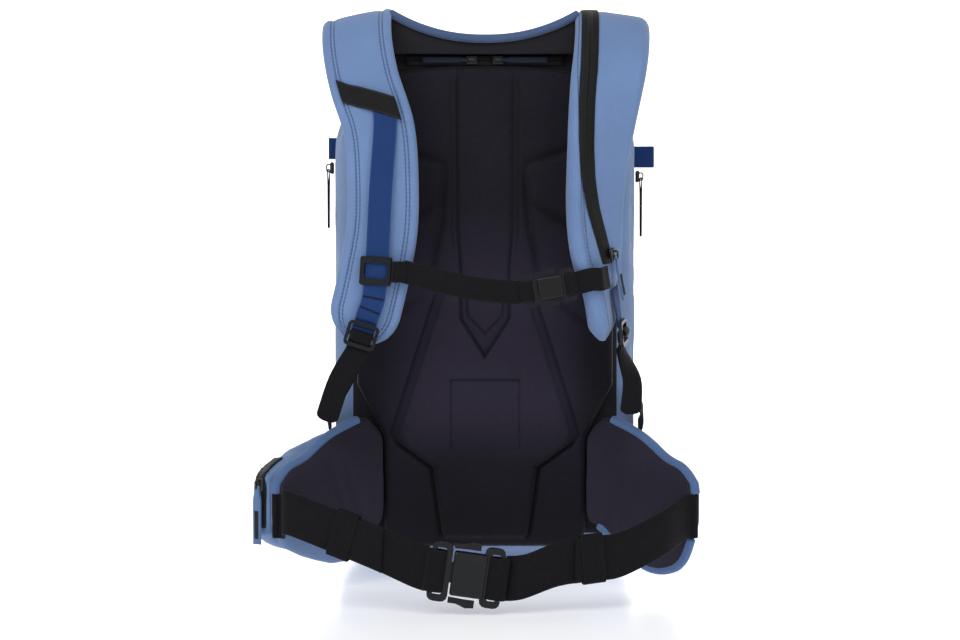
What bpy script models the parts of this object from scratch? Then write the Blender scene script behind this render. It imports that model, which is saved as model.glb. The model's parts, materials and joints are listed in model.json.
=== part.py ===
"""Avalanche airbag backpack, about 25 litres, standing on its base with the harness towards -Y.

Metres, +Z up. The origin is the middle of the flat base, +X is the side of the trigger strap.
"""

import math
from collections import namedtuple

import bmesh
import bpy
from mathutils import Matrix, Vector

# Clearances
GAP = 0.0004  # between pieces that touch
RUNNING_GAP = 0.0012  # between a piece that moves and what it passes

# Bag
PACK_WIDTH = 0.285
PACK_HEIGHT = 0.500
PACK_DEPTH = 0.185
PACK_TOP_DEPTH = 0.135
PACK_BACK_Y = -0.090  # plane of the wall behind the wearer
PACK_CORNER = 0.030
SHELL_WALL = 0.003
TAPER_POWER = 1.6

# Moulded back panel, the door of the back opening
PANEL_THICKNESS = 0.014
PANEL_PROUD = 0.010
PANEL_SEAM = 0.001
PANEL_SIDE_INSET = 0.0255  # from the side of the bag, behind the shoulders
PANEL_HIP_INSET = 0.0505  # from the side of the bag, between the hip fins
PANEL_BOTTOM_Z = 0.034
PANEL_WAIST_Z = 0.187
PANEL_HIP_Z = 0.137
PANEL_CORNER = 0.014
PANEL_EDGE = 0.005
SHIELD_RISE = 0.004
SHIELD_TOP_Z = 0.262
SHIELD_TOP_HALF_WIDTH = 0.040
SHIELD_HIP_INSET = 0.008  # from the edge of the panel
SHIELD_WAIST_Z = 0.1065
SHIELD_WAIST_HALF_WIDTH = 0.049
SHIELD_FOOT_Z = 0.046
SHIELD_FOOT_HALF_WIDTH = 0.039
CHANNEL_TIP_Z = 0.2096
CHANNEL_DEPTH = 0.003
CHANNEL_STEP = 0.0025
CHANNEL_HALF_WIDTH = 0.0245
CHANNEL_LEDGE = 0.006
RECESS_WIDTH = 0.062
RECESS_HEIGHT = 0.077
RECESS_MID_Z = 0.150
RECESS_DEPTH = 0.0012
RECESS_CORNER = 0.003
FRAME_SHEET_THICKNESS = 0.0016
FRAME_SHEET_INSET = 0.010

# Neck yoke and the zip of the back opening
YOKE_PROUD = 0.014
YOKE_DROP = 0.014  # lower edge, below the top of the bag
NECK_RISE = 0.0215
NECK_HALF_WIDTH = 0.083
YOKE_BEAD = 0.0035
BACK_ZIP_WIDTH = 0.009
BACK_ZIP_SEAM = 0.0035  # bare fabric above and below the tape
BACK_ZIP_HALF_LENGTH = 0.072
BACK_SLIDER_X = 0.012

# Shoulder straps
STRAP_HALF_WIDTH = 0.0315
LEFT_STRAP_THICKNESS = 0.012
GROOVE_BACKING = 0.006  # padding behind the groove of the right strap
GROOVE_MARGIN = 0.002  # beyond the room that the trigger handle needs
STRAP_EDGE = 0.004
STRAP_CROWN = 0.0018
STRAP_TIP = 0.032
LEFT_SLUMP = 0.0135  # of the outer edge, where the strap lies over the bag
RIGHT_SLUMP = 0.006
STRAP_STEPS = 3
WEBBING_THICKNESS = 0.0016
STRAP_WEBBING_WIDTH = 0.020
ZIP_TAPE_WIDTH = 0.016
ZIP_TAPE_THICKNESS = 0.0012
ZIP_SLIDER_DROP = 0.2000  # slider of the strap zip, below the top of the bag
ZIP_SLIDER_TRAVEL = 0.040

# Ladder locks of the shoulder straps
LOCK_SIDE = 0.0028
LOCK_BAR = 0.0032
LOCK_CORNER = 0.004
LOCK_TILT = math.radians(-17.5)

# Sternum strap
STERNUM_SLIDER_HEIGHT = 0.025
STERNUM_SLIDER_WALL = 0.0024
STERNUM_SLIDER_SIDE = 0.0026
STERNUM_LUG = 0.0085
STERNUM_LUG_RIM = 0.0022
RAIL_CLEARANCE = 0.0026  # between the sternum slider and the strap
STERNUM_BUCKLE_SIZE = 0.046
STERNUM_BUCKLE_X = 0.0545
STERNUM_BUCKLE_DROP = 0.2292  # below the top of the bag
STERNUM_ANCHOR_RISE = 0.011
STERNUM_ANCHOR_INSET = 0.0195  # from the edge of the right strap
STERNUM_TILT = math.radians(9.5)
STERNUM_STANDOFF = 0.080  # of the buckle, from the face of the back panel

# Hip belt
FIN_THICKNESS = 0.014
HIP_WEBBING_WIDTH = 0.038
HIP_WEBBING_THICKNESS = 0.0018
HIP_BUCKLE_SIZE = 0.060
HIP_BUCKLE_X = -0.0165
HIP_BUCKLE_Z = 0.0340
HIP_TILT = math.radians(-8.0)
HIP_STANDOFF = 0.150
POCKET_BULGE = 0.044
KEEPER_LENGTH = 0.020
KEEPER_WALL = 0.0012
HIP_SLIDER_DROP = 0.012  # below the top of the pocket's end

# Zip sliders and their pulls
SLIDER_WIDTH = 0.0085
SLIDER_LENGTH = 0.0110
SLIDER_BODY = 0.0032
BAIL_HEIGHT = 0.0042
BAIL_WIDTH = 0.0022
BAIL_WALL = 0.0011
PULL_WIDTH = 0.0090
PULL_THICKNESS = 0.0014
PULL_BAR = 0.0012
PULL_EYE = 0.0056
PULL_RIM = 0.0016
STRAP_PULL_LENGTH = 0.040
BACK_PULL_LENGTH = 0.043
SIDE_PULL_LENGTH = 0.055
FRONT_PULL_LENGTH = 0.050
HIP_PULL_LENGTH = 0.050

# Front pocket, side zips and side tabs
FRONT_POCKET_WIDTH = 0.210
FRONT_POCKET_HEIGHT = 0.330
FRONT_POCKET_BULGE = 0.024
FRONT_POCKET_LOW_Z = 0.060
FRONT_ZIP_INSET = 0.035  # from the side of the pocket
FRONT_ZIP_REACH = 0.085
SIDE_ZIP_DROPS = (0.116, 0.124)  # sliders below the top of the bag, left and right
LEFT_TAB_REACH = 0.0075
RIGHT_TAB_REACH = 0.018
SIDE_TAB_WIDTH = 0.020
SIDE_TAB_GAP = 0.003
SIDE_TAB_Y = -0.030

# Inflation system
CYLINDER_RADIUS = 0.029
CYLINDER_LENGTH = 0.250
CYLINDER_WALL = 0.004
CYLINDER_FOOT = 0.012
CYLINDER_SHOULDER = 0.028
NECK_RADIUS = 0.010
NECK_HEIGHT = 0.018
NECK_SHOWN = 0.005  # between the cylinder's shoulder and the valve head
VALVE_HALF_WIDTH = 0.020
VALVE_DEPTH = 0.040
VALVE_HEIGHT = 0.048
VALVE_ARM_REACH = 0.060
VALVE_ARM_HEIGHT = 0.034
PLUNGER_RADIUS = 0.004
PLUNGER_LENGTH = 0.034
PLUNGER_SEAT = 0.022  # depth of its bore
PLUNGER_CAP = 0.0045
PLUNGER_STROKE = 0.020
EJECTOR_RADIUS = 0.020
EJECTOR_FOOT = 0.022
EJECTOR_MOUTH = 0.028
BLADDER_WIDTH = 0.230
BLADDER_DEPTH = 0.062
BLADDER_HEIGHT = 0.062
BLADDER_BACK_Y = -0.022
BLADDER_EDGE = 0.018
HANDLE_LENGTH = 0.072
HANDLE_RADIUS = 0.0043
HANDLE_RIBS = 6
HANDLE_STEM = 0.012
CORD_RADIUS = 0.0012
CABLE_RADIUS = 0.0022
CABLE_PORT_X = 0.095
CABLE_PORT_INSET = 0.057  # from the back wall of the bag

# Places worked out from the sizes above
SIDE_X = PACK_WIDTH / 2
PANEL_FACE_Y = PACK_BACK_Y - PANEL_PROUD
PANEL_HALF_WIDTH = SIDE_X - PANEL_SIDE_INSET
PANEL_HIP_HALF_WIDTH = SIDE_X - PANEL_HIP_INSET
BACK_ZIP_Z = PACK_HEIGHT - YOKE_DROP - BACK_ZIP_SEAM - BACK_ZIP_WIDTH / 2
PANEL_TOP_Z = BACK_ZIP_Z - BACK_ZIP_WIDTH / 2 - BACK_ZIP_SEAM
HANDLE_ROOM = HANDLE_RADIUS + RUNNING_GAP
GROOVE_WIDTH = 2 * HANDLE_ROOM + 0.75 * GROOVE_MARGIN
GROOVE_DEPTH = 2 * HANDLE_ROOM + GROOVE_MARGIN
LEFT_FACE = LEFT_STRAP_THICKNESS / 2
RIGHT_FACE = (GROOVE_DEPTH + GROOVE_BACKING) / 2
LOOP_INSIDE = LOCK_BAR * 0.80
LOOP_RADIUS = LOOP_INSIDE + WEBBING_THICKNESS / 2
LOCK_PITCH = 2 * (LOOP_INSIDE + WEBBING_THICKNESS) + RUNNING_GAP  # between its three bars
RAIL_SLOT = WEBBING_THICKNESS / 2 + 2 * GAP
RAIL_LIFT = RAIL_SLOT + STERNUM_SLIDER_WALL + RAIL_CLEARANCE
SEWN_LIFT = WEBBING_THICKNESS / 2 + 2 * GAP
STERNUM_BUCKLE_Z = PACK_HEIGHT - STERNUM_BUCKLE_DROP

# Colour, roughness and metallic value of each finish
FINISHES = {
    "shell_fabric": ((0.135, 0.225, 0.425), 0.85, 0.0),
    "panel_foam": ((0.022, 0.020, 0.030), 0.75, 0.0),
    "strap_fabric": ((0.150, 0.245, 0.450), 0.85, 0.0),
    "navy_webbing": ((0.022, 0.055, 0.170), 0.80, 0.0),
    "black_webbing": ((0.012, 0.012, 0.014), 0.85, 0.0),
    "zip_tape": ((0.020, 0.020, 0.020), 0.60, 0.0),
    "zip_metal": ((0.080, 0.080, 0.085), 0.40, 0.8),
    "pull_fabric": ((0.060, 0.120, 0.290), 0.80, 0.0),
    "buckle_plastic": ((0.030, 0.031, 0.034), 0.45, 0.0),
    "frame_plastic": ((0.050, 0.050, 0.055), 0.55, 0.0),
    "cylinder_paint": ((0.300, 0.310, 0.330), 0.35, 0.9),
    "valve_metal": ((0.450, 0.460, 0.480), 0.35, 1.0),
    "bladder_fabric": ((0.620, 0.130, 0.030), 0.70, 0.0),
    "handle_plastic": ((0.550, 0.030, 0.025), 0.50, 0.0),
    "cable_sheath": ((0.015, 0.015, 0.016), 0.50, 0.0),
}

Frame = namedtuple("Frame", "place across along normal")


# Scene and objects


def clear_scene():
    for obj in list(bpy.data.objects):
        bpy.data.objects.remove(obj)


def collection(name):
    made = bpy.data.collections.new(name)
    bpy.context.scene.collection.children.link(made)
    return made


def finish(name):
    material = bpy.data.materials.get(name)
    if material:
        return material
    colour, roughness, metallic = FINISHES[name]
    material = bpy.data.materials.new(name)
    material.use_nodes = True
    shader = material.node_tree.nodes["Principled BSDF"]
    shader.inputs["Base Color"].default_value = (*colour, 1.0)
    shader.inputs["Roughness"].default_value = roughness
    shader.inputs["Metallic"].default_value = metallic
    material.diffuse_color = (*colour, 1.0)
    return material


def add(name, mesh, finish_name=None):
    obj = bpy.data.objects.new(name, mesh)
    PARTS.objects.link(obj)
    if finish_name:
        mesh.materials.clear()
        mesh.materials.append(finish(finish_name))
        mesh.shade_smooth()
        mesh.set_sharp_from_angle(angle=math.radians(35))
    return obj


def mesh_of(bm, name):
    bmesh.ops.recalc_face_normals(bm, faces=bm.faces)
    mesh = bpy.data.meshes.new(name)
    bm.to_mesh(mesh)
    bm.free()
    return mesh


def evaluated_mesh(obj):
    graph = bpy.context.evaluated_depsgraph_get()
    return bpy.data.meshes.new_from_object(obj.evaluated_get(graph), depsgraph=graph)


def combine(obj, tool_mesh, operation):
    """Join a tool to an object, or cut it away, and keep the result as the object's mesh."""
    tool = add("tool", tool_mesh)
    modifier = obj.modifiers.new(operation.lower(), "BOOLEAN")
    modifier.object = tool
    modifier.operation = operation
    modifier.solver = "EXACT"
    mesh = evaluated_mesh(obj)
    obj.modifiers.clear()
    obj.data = mesh
    bpy.data.objects.remove(tool)
    bm = bmesh.new()
    bm.from_mesh(mesh)
    bmesh.ops.remove_doubles(bm, verts=bm.verts, dist=5e-6)
    bmesh.ops.dissolve_degenerate(bm, edges=bm.edges, dist=5e-6)
    bm.to_mesh(mesh)
    bm.free()
    return obj


def place(obj, frame):
    """Set an object modelled flat (x across, y up, z outwards) on a frame."""
    up = -frame.along
    obj.matrix_world = Matrix((
        (frame.across.x, up.x, frame.normal.x, frame.place.x),
        (frame.across.y, up.y, frame.normal.y, frame.place.y),
        (frame.across.z, up.z, frame.normal.z, frame.place.z),
        (0, 0, 0, 1),
    ))
    return obj


def attach(child, parent):
    """Parent a piece to the one that carries it, where it is."""
    bpy.context.view_layer.update()
    child.parent = parent
    child.matrix_parent_inverse = parent.matrix_world.inverted()


def say_joint(name, point, axis):
    print("joint", name, [round(v, 5) for v in point], [round(v, 5) for v in axis])


# Shapes


def box(low, high, edge=0.0, segments=1):
    """Block between two corners, with its edges rounded."""
    bm = bmesh.new()
    bmesh.ops.create_cube(bm, size=1.0)
    low, high = Vector(low), Vector(high)
    bmesh.ops.scale(bm, vec=high - low, verts=bm.verts)
    bmesh.ops.translate(bm, vec=(low + high) / 2, verts=bm.verts)
    if edge:
        bmesh.ops.bevel(
            bm, geom=bm.edges[:], offset=edge, segments=segments, profile=0.5, affect="EDGES"
        )
    return mesh_of(bm, "box")


def plate(loops, thickness, middle=0.0):
    """Flat outline with its holes, in the local XY plane, as a solid of that thickness."""
    curve = bpy.data.curves.new("outline", "CURVE")
    curve.dimensions = "2D"
    curve.fill_mode = "BOTH"
    curve.extrude = thickness / 2
    for loop in loops:
        spline = curve.splines.new("POLY")
        spline.points.add(len(loop) - 1)
        spline.use_cyclic_u = True
        for point, (x, y) in zip(spline.points, loop):
            point.co = (x, y, 0, 1)
    obj = bpy.data.objects.new("outline", curve)
    PARTS.objects.link(obj)
    mesh = evaluated_mesh(obj)
    bpy.data.objects.remove(obj)
    bm = bmesh.new()
    bm.from_mesh(mesh)
    bmesh.ops.remove_doubles(bm, verts=bm.verts, dist=1e-5)
    if len(loops) == 1:
        bmesh.ops.dissolve_limit(
            bm, angle_limit=math.radians(1), verts=bm.verts, edges=bm.edges, delimit={"NORMAL"}
        )
    bmesh.ops.translate(bm, vec=(0, 0, middle), verts=bm.verts)
    return mesh_of(bm, "plate")


def prism(loop, near_y, far_y, bevel=0.0):
    """Outline in the XZ plane as a solid between two Y planes, its near edge rounded by bevel."""
    mesh = plate([loop], far_y - near_y)
    bm = bmesh.new()
    bm.from_mesh(mesh)
    turn = Matrix.Rotation(math.pi / 2, 3, "X")
    bmesh.ops.transform(bm, matrix=turn.to_4x4(), verts=bm.verts)
    bmesh.ops.translate(bm, vec=(0, (near_y + far_y) / 2, 0), verts=bm.verts)
    if bevel:
        rim = [e for e in bm.edges if all(abs(v.co.y - near_y) < 1e-6 for v in e.verts)]
        rim = [e for e in rim if any(abs(f.normal.y) < 0.5 for f in e.link_faces)]
        bmesh.ops.bevel(bm, geom=rim, offset=bevel, segments=2, profile=0.5, affect="EDGES")
    return mesh_of(bm, "prism")


def rounded(low_x, low_y, high_x, high_y, radius, steps=2):
    """Rectangle with round corners, as a list of points."""
    points = []
    corners = ((high_x, high_y, 0), (low_x, high_y, 90), (low_x, low_y, 180), (high_x, low_y, 270))
    for x, y, start in corners:
        middle_x = x - radius if start in (0, 270) else x + radius
        middle_y = y - radius if start in (0, 90) else y + radius
        for step in range(steps + 1):
            angle = math.radians(start + 90 * step / steps)
            points.append((middle_x + radius * math.cos(angle), middle_y + radius * math.sin(angle)))
    return points


def mirrored(half):
    """Whole outline from its right half, listed from the top middle down to the bottom middle."""
    return half + [(-x, z) for x, z in reversed(half) if abs(x) > 1e-9]


def turned(profile, steps):
    """Solid of revolution about Z from (radius, height) points that run down the outer side."""
    bm = bmesh.new()
    verts = [bm.verts.new((radius, 0, height)) for radius, height in profile]
    for first, second in zip(verts, verts[1:]):
        bm.edges.new((first, second))
    mesh = bpy.data.meshes.new("profile")
    bm.to_mesh(mesh)
    bm.free()
    obj = add("profile", mesh)
    screw = obj.modifiers.new("turn", "SCREW")
    screw.steps = screw.render_steps = steps
    screw.use_merge_vertices = True
    screw.merge_threshold = 0.00005
    mesh = evaluated_mesh(obj)
    bpy.data.objects.remove(obj)
    bm = bmesh.new()
    bm.from_mesh(mesh)
    bmesh.ops.remove_doubles(bm, verts=bm.verts, dist=1e-5)
    return mesh_of(bm, "turned")


def tube(points, radius, resolution=2):
    """Round cord along a list of points, with closed ends."""
    curve = bpy.data.curves.new("tube", "CURVE")
    curve.dimensions = "3D"
    curve.bevel_depth = radius
    curve.bevel_resolution = resolution
    curve.use_fill_caps = True
    spline = curve.splines.new("POLY")
    spline.points.add(len(points) - 1)
    for point, place_at in zip(spline.points, points):
        point.co = (*place_at, 1)
    obj = bpy.data.objects.new("tube", curve)
    PARTS.objects.link(obj)
    mesh = evaluated_mesh(obj)
    bpy.data.objects.remove(obj)
    bm = bmesh.new()
    bm.from_mesh(mesh)
    bmesh.ops.remove_doubles(bm, verts=bm.verts, dist=1e-5)
    return mesh_of(bm, "tube")


def smooth(points, steps):
    """Points on a smooth curve through the given ones, which may carry any number of values."""
    padded = [points[0], *points, points[-1]]
    found = []
    for before, first, second, after in zip(padded, padded[1:], padded[2:], padded[3:]):
        for step in range(steps):
            t = step / steps
            found.append([
                0.5 * (2 * q + (r - p) * t + (2 * p - 5 * q + 4 * r - s) * t * t
                       + (3 * q - p - 3 * r + s) * t ** 3)
                for p, q, r, s in zip(before, first, second, after)
            ])
    return [*found, list(points[-1])]


def frames_of(places, acrosses, square=True):
    """Frames along a row of places, turned square to the row unless their own direction is kept."""
    frames = []
    for i, (at, across) in enumerate(zip(places, acrosses)):
        ahead = places[min(i + 1, len(places) - 1)] - places[max(i - 1, 0)]
        along = ahead.normalized()
        if square:
            across = across - along * across.dot(along)
        across = across.normalized()
        frames.append(Frame(at, across, along, along.cross(across).normalized()))
    return frames


def twisted_frames(points, steps):
    """Frames of a strap from (x, y, z, twist in degrees) points."""
    rows = smooth(points, steps)
    places = [Vector(row[:3]) for row in rows]
    turns = [math.radians(row[3]) for row in rows]
    return frames_of(places, [Vector((math.cos(t), math.sin(t), 0)) for t in turns])


def at_height(frames, z):
    """The frame of a hanging strap at a height, between two of its own."""
    for first, second in zip(frames, frames[1:]):
        if second.place.z <= z <= first.place.z and first.along.z < 0:
            t = (first.place.z - z) / (first.place.z - second.place.z)
            mixed = [a.lerp(b, t) for a, b in zip(first, second)]
            return Frame(mixed[0], *[v.normalized() for v in mixed[1:]])
    raise ValueError(f"the strap has no point at height {z}")


def spot(frame, across, outwards):
    """A point beside a frame."""
    return frame.place + frame.across * across + frame.normal * outwards


def loft(frames, outlines):
    """Solid through one closed outline of (across, outwards) points on each frame."""
    bm = bmesh.new()
    rings = [
        [bm.verts.new(spot(frame, a, n)) for a, n in outline]
        for frame, outline in zip(frames, outlines)
    ]
    for first, second in zip(rings, rings[1:]):
        for i in range(len(first)):
            j = (i + 1) % len(first)
            bm.faces.new((first[i], first[j], second[j], second[i]))
    bm.faces.new(rings[0])
    bm.faces.new(rings[-1])
    return mesh_of(bm, "loft")


def band_outline(width, thickness, middle=0.0, lift=0.0):
    half, flat = width / 2, thickness / 2
    return [
        (middle - half, lift - flat), (middle + half, lift - flat),
        (middle + half, lift + flat), (middle - half, lift + flat),
    ]


def pad_outline(low, high, back, face, edge, crown=0.0):
    """Outline of a pad between two sides, its long edges drawn in and its back crowned."""
    edge = min(edge, (face - back) * 0.45, (high - low) * 0.45)
    return [
        (low + edge, back), ((low + high) / 2, back - crown), (high - edge, back), (high, back + edge),
        (high, face - edge), (high - edge, face), (low + edge, face), (low, face - edge), (low, back + edge),
    ]


def band(name, points, acrosses, width, thickness, finish_name, square=True):
    """Flat webbing along a row of points."""
    frames = frames_of([Vector(p) for p in points], [Vector(a) for a in acrosses], square)
    outline = band_outline(width, thickness)
    return add(name, loft(frames, [outline] * len(frames)), finish_name), frames


# Bag


def depth_at(z):
    """Depth of the bag, which leans in towards the top."""
    share = max(0.0, min(1.0, z / PACK_HEIGHT))
    return PACK_DEPTH - (PACK_DEPTH - PACK_TOP_DEPTH) * share ** TAPER_POWER


def pack_block(grow):
    """Closed rounded block of the bag, grown outwards."""
    bm = bmesh.new()
    bmesh.ops.create_cube(bm, size=1.0)
    size = Vector((PACK_WIDTH, PACK_DEPTH, PACK_HEIGHT)) + Vector((1, 1, 1)) * 2 * grow
    bmesh.ops.scale(bm, vec=size, verts=bm.verts)
    middle = (0, PACK_BACK_Y + PACK_DEPTH / 2, PACK_HEIGHT / 2)
    bmesh.ops.translate(bm, vec=middle, verts=bm.verts)
    bmesh.ops.bevel(
        bm, geom=bm.edges[:], offset=PACK_CORNER + grow, segments=4, profile=0.5, affect="EDGES"
    )
    for share in (0.25, 0.45, 0.62, 0.78, 0.90):
        geometry = bm.verts[:] + bm.edges[:] + bm.faces[:]
        level = (0, 0, PACK_HEIGHT * share)
        bmesh.ops.bisect_plane(bm, geom=geometry, plane_co=level, plane_no=(0, 0, 1))
    for vert in bm.verts:
        lean = depth_at(vert.co.z) / PACK_DEPTH
        if vert.co.y > PACK_BACK_Y:
            vert.co.y = PACK_BACK_Y + (vert.co.y - PACK_BACK_Y) * lean
    return mesh_of(bm, "pack_block")


def panel_outline(grow):
    """Outline of the back panel: wide behind the shoulders, drawn in above the hip fins."""
    wide = PANEL_HALF_WIDTH + grow
    narrow = PANEL_HIP_HALF_WIDTH + grow
    top, bottom = PANEL_TOP_Z + grow, PANEL_BOTTOM_Z - grow
    half = [
        (0, top), (wide - 2 * PANEL_CORNER, top), (wide - PANEL_CORNER * 0.6, top - PANEL_CORNER * 0.4),
        (wide, top - PANEL_CORNER * 1.4), (wide, PANEL_WAIST_Z), (narrow, PANEL_HIP_Z),
        (narrow, bottom + PANEL_CORNER), (narrow - PANEL_CORNER, bottom), (0, bottom),
    ]
    return mirrored(half)


def shell():
    obj = add("pack_shell", pack_block(0.0), "shell_fabric")
    combine(obj, pack_block(-SHELL_WALL), "DIFFERENCE")
    window = prism(panel_outline(PANEL_SEAM), PACK_BACK_Y - PANEL_PROUD, PACK_BACK_Y + PANEL_PROUD)
    combine(obj, window, "DIFFERENCE")
    port = turned([(0, 2 * PANEL_PROUD), (2 * CABLE_RADIUS, 2 * PANEL_PROUD),
                   (2 * CABLE_RADIUS, -2 * PANEL_PROUD), (0, -2 * PANEL_PROUD)], 10)
    port.transform(Matrix.Translation(cable_port()))
    return combine(obj, port, "DIFFERENCE")


def channel_outline(half, tip_z):
    """Air channel down the spine, which ends in a point above the lumbar shield."""
    shoulder_z = tip_z + half * 2.0
    top_z = PANEL_TOP_Z - PANEL_EDGE * 1.5
    return [(half, top_z), (half, shoulder_z), (0, tip_z), (-half, shoulder_z), (-half, top_z)]


def back_panel():
    near = PANEL_FACE_Y
    obj = add("back_panel", prism(panel_outline(0), near, near + PANEL_THICKNESS, PANEL_EDGE), "panel_foam")
    shield = mirrored([
        (0, SHIELD_TOP_Z), (SHIELD_TOP_HALF_WIDTH, SHIELD_TOP_Z - SHIELD_RISE),
        (PANEL_HIP_HALF_WIDTH - SHIELD_HIP_INSET, PANEL_HIP_Z), (SHIELD_WAIST_HALF_WIDTH, SHIELD_WAIST_Z),
        (SHIELD_FOOT_HALF_WIDTH, SHIELD_FOOT_Z), (0, SHIELD_FOOT_Z),
    ])
    combine(obj, prism(shield, near - SHIELD_RISE, near + SHIELD_RISE, SHIELD_RISE * 0.8), "UNION")
    front = near - 2 * SHIELD_RISE
    outer = channel_outline(CHANNEL_HALF_WIDTH, CHANNEL_TIP_Z)
    combine(obj, prism(outer, front, near + CHANNEL_DEPTH), "DIFFERENCE")
    inner = channel_outline(CHANNEL_HALF_WIDTH - CHANNEL_LEDGE, CHANNEL_TIP_Z + 3 * CHANNEL_LEDGE)
    combine(obj, prism(inner, front, near + CHANNEL_DEPTH + CHANNEL_STEP), "DIFFERENCE")
    half_wide, half_high = RECESS_WIDTH / 2, RECESS_HEIGHT / 2
    recess = rounded(-half_wide, RECESS_MID_Z - half_high, half_wide, RECESS_MID_Z + half_high, RECESS_CORNER)
    return combine(obj, prism(recess, front, near - SHIELD_RISE + RECESS_DEPTH), "DIFFERENCE")


def frame_sheet():
    near = PANEL_FACE_Y + PANEL_THICKNESS + GAP
    sheet = prism(panel_outline(-FRAME_SHEET_INSET), near, near + FRAME_SHEET_THICKNESS)
    return add("frame_sheet", sheet, "frame_plastic")


def neck_height(x):
    """Top edge of the yoke, which dips between the straps."""
    return PACK_HEIGHT + NECK_RISE * abs(x / NECK_HALF_WIDTH) ** 2.2


def yoke(left_frames, right_frames):
    """Padded neck piece between the tops of the straps, with a rolled upper edge."""
    left = max(f.place.x for f in left_frames[:7]) + STRAP_HALF_WIDTH + 2 * GAP
    right = min(f.place.x for f in right_frames[:7]) - STRAP_HALF_WIDTH - 2 * GAP
    front = PACK_BACK_Y - YOKE_PROUD
    back = PACK_BACK_Y + PACK_CORNER
    low = PACK_HEIGHT - YOKE_DROP
    bm = bmesh.new()
    rings = []
    steps = 12
    for i in range(steps + 1):
        x = left + (right - left) * i / steps
        top = neck_height(x)
        section = [
            (front, low), (front, top - 3 * YOKE_BEAD), (front - YOKE_BEAD, top - 2 * YOKE_BEAD),
            (front - YOKE_BEAD, top - YOKE_BEAD), (front, top), (back, top - YOKE_BEAD), (back, low),
        ]
        rings.append([bm.verts.new((x, y, z)) for y, z in section])
    for first, second in zip(rings, rings[1:]):
        for j in range(len(first)):
            k = (j + 1) % len(first)
            bm.faces.new((first[j], first[k], second[k], second[j]))
    bm.faces.new(rings[0])
    bm.faces.new(rings[-1])
    obj = add("neck_yoke", mesh_of(bm, "yoke"), "panel_foam")
    return combine(obj, pack_block(GAP), "DIFFERENCE")


def front_pocket_frame():
    """Middle of the front pocket's face, which leans with the front of the bag."""
    low = FRONT_POCKET_LOW_Z
    high = low + FRONT_POCKET_HEIGHT
    low_y, high_y = PACK_BACK_Y + depth_at(low), PACK_BACK_Y + depth_at(high)
    up = Vector((0, high_y - low_y, high - low)).normalized()
    across = Vector((-1, 0, 0))
    normal = (-up).cross(across)
    middle = Vector((0, (low_y + high_y) / 2, (low + high) / 2)) + normal * FRONT_POCKET_BULGE
    return Frame(middle, across, -up, normal)


def front_pocket():
    frame = front_pocket_frame()
    half_wide, half_high = FRONT_POCKET_WIDTH / 2, FRONT_POCKET_HEIGHT / 2
    mesh = box((-half_wide, -half_high, -4 * FRONT_POCKET_BULGE), (half_wide, half_high, 0),
               FRONT_POCKET_BULGE * 0.8, 3)
    obj = place(add("front_pocket", mesh, "shell_fabric"), frame)
    mesh.transform(obj.matrix_world)
    obj.matrix_world = Matrix.Identity(4)
    return combine(obj, pack_block(GAP), "DIFFERENCE")


def side_tab(name, side, reach, z):
    """Webbing folded double and sewn into the side seam."""
    half_wide, fold = SIDE_TAB_WIDTH / 2, WEBBING_THICKNESS
    root, tip = SIDE_X + GAP, SIDE_X + GAP + reach
    outline = [(root, -fold), (tip - fold, -fold), (tip - 0.3 * fold, -0.7 * fold), (tip, 0),
               (tip - 0.3 * fold, 0.7 * fold), (tip - fold, fold), (root, fold)]
    mesh = plate([[(side * x, y) for x, y in outline]], 2 * half_wide)
    mesh.transform(Matrix.Translation((0, SIDE_TAB_Y, z)))
    return add(name, mesh, "navy_webbing")


# Underside of the shoulder straps: inset from the side of the bag, stand-off from the back panel,
# drop below the top of the bag, twist in degrees

LEFT_STRAP = (
    (0.0295, -0.0549, -0.0008, 0), (0.0280, -0.0148, -0.0070, 0), (0.0270, 0.0087, -0.0020, 0),
    (0.0291, 0.0289, 0.0215, 0), (0.0361, 0.0422, 0.0508, 0), (0.0498, 0.0500, 0.0919, 0),
    (0.0532, 0.0520, 0.1381, 0), (0.0520, 0.0520, 0.1799, 0), (0.0441, 0.0510, 0.2217, 0),
    (0.0353, 0.0461, 0.2562, 0), (0.0290, 0.0403, 0.2761, 0),
)
RIGHT_STRAP = (
    (0.0295, -0.0551, -0.0008, 0), (0.0295, -0.0155, -0.0035, 0), (0.0300, 0.0064, 0.0032, 0),
    (0.0329, 0.0226, 0.0244, 3), (0.0402, 0.0351, 0.0564, 17), (0.0462, 0.0430, 0.0925, 33),
    (0.0506, 0.0466, 0.1270, 48), (0.0531, 0.0477, 0.1627, 56), (0.0525, 0.0458, ZIP_SLIDER_DROP, 64),
    (0.0506, 0.0422, ZIP_SLIDER_DROP + 0.0354, 73), (0.0477, 0.0387, ZIP_SLIDER_DROP + 0.0626, 76),
    (0.0468, 0.0369, ZIP_SLIDER_DROP + 0.0762, 77),
)
# Strap zip on the right strap: drop below the top of the bag, inset from the strap's inner edge
ZIP_INSETS = (
    (-0.020, 0.0135), (0.010, 0.0135), (0.043, 0.0143), (0.071, 0.0130), (0.108, 0.0130),
    (0.134, 0.0150), (0.160, 0.0210), (0.180, 0.0275), (0.196, 0.0320), (0.230, 0.0375),
)
HANDLE_TOP_DROP = 0.088
GROOVE_LOW_DROP = HANDLE_TOP_DROP + HANDLE_LENGTH + PLUNGER_STROKE + GROOVE_WIDTH
ZIP_LOW_DROP = max(GROOVE_LOW_DROP, ZIP_SLIDER_DROP) + ZIP_TAPE_WIDTH / 2


def strap_frames(side, points, face):
    """Frames down the middle of a strap from the path of its underside."""
    placed = [
        (side * (SIDE_X - inset), PANEL_FACE_Y - out, PACK_HEIGHT - drop, turn)
        for inset, out, drop, turn in points
    ]
    return [f._replace(place=spot(f, 0, face)) for f in twisted_frames(placed, STRAP_STEPS)]


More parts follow.
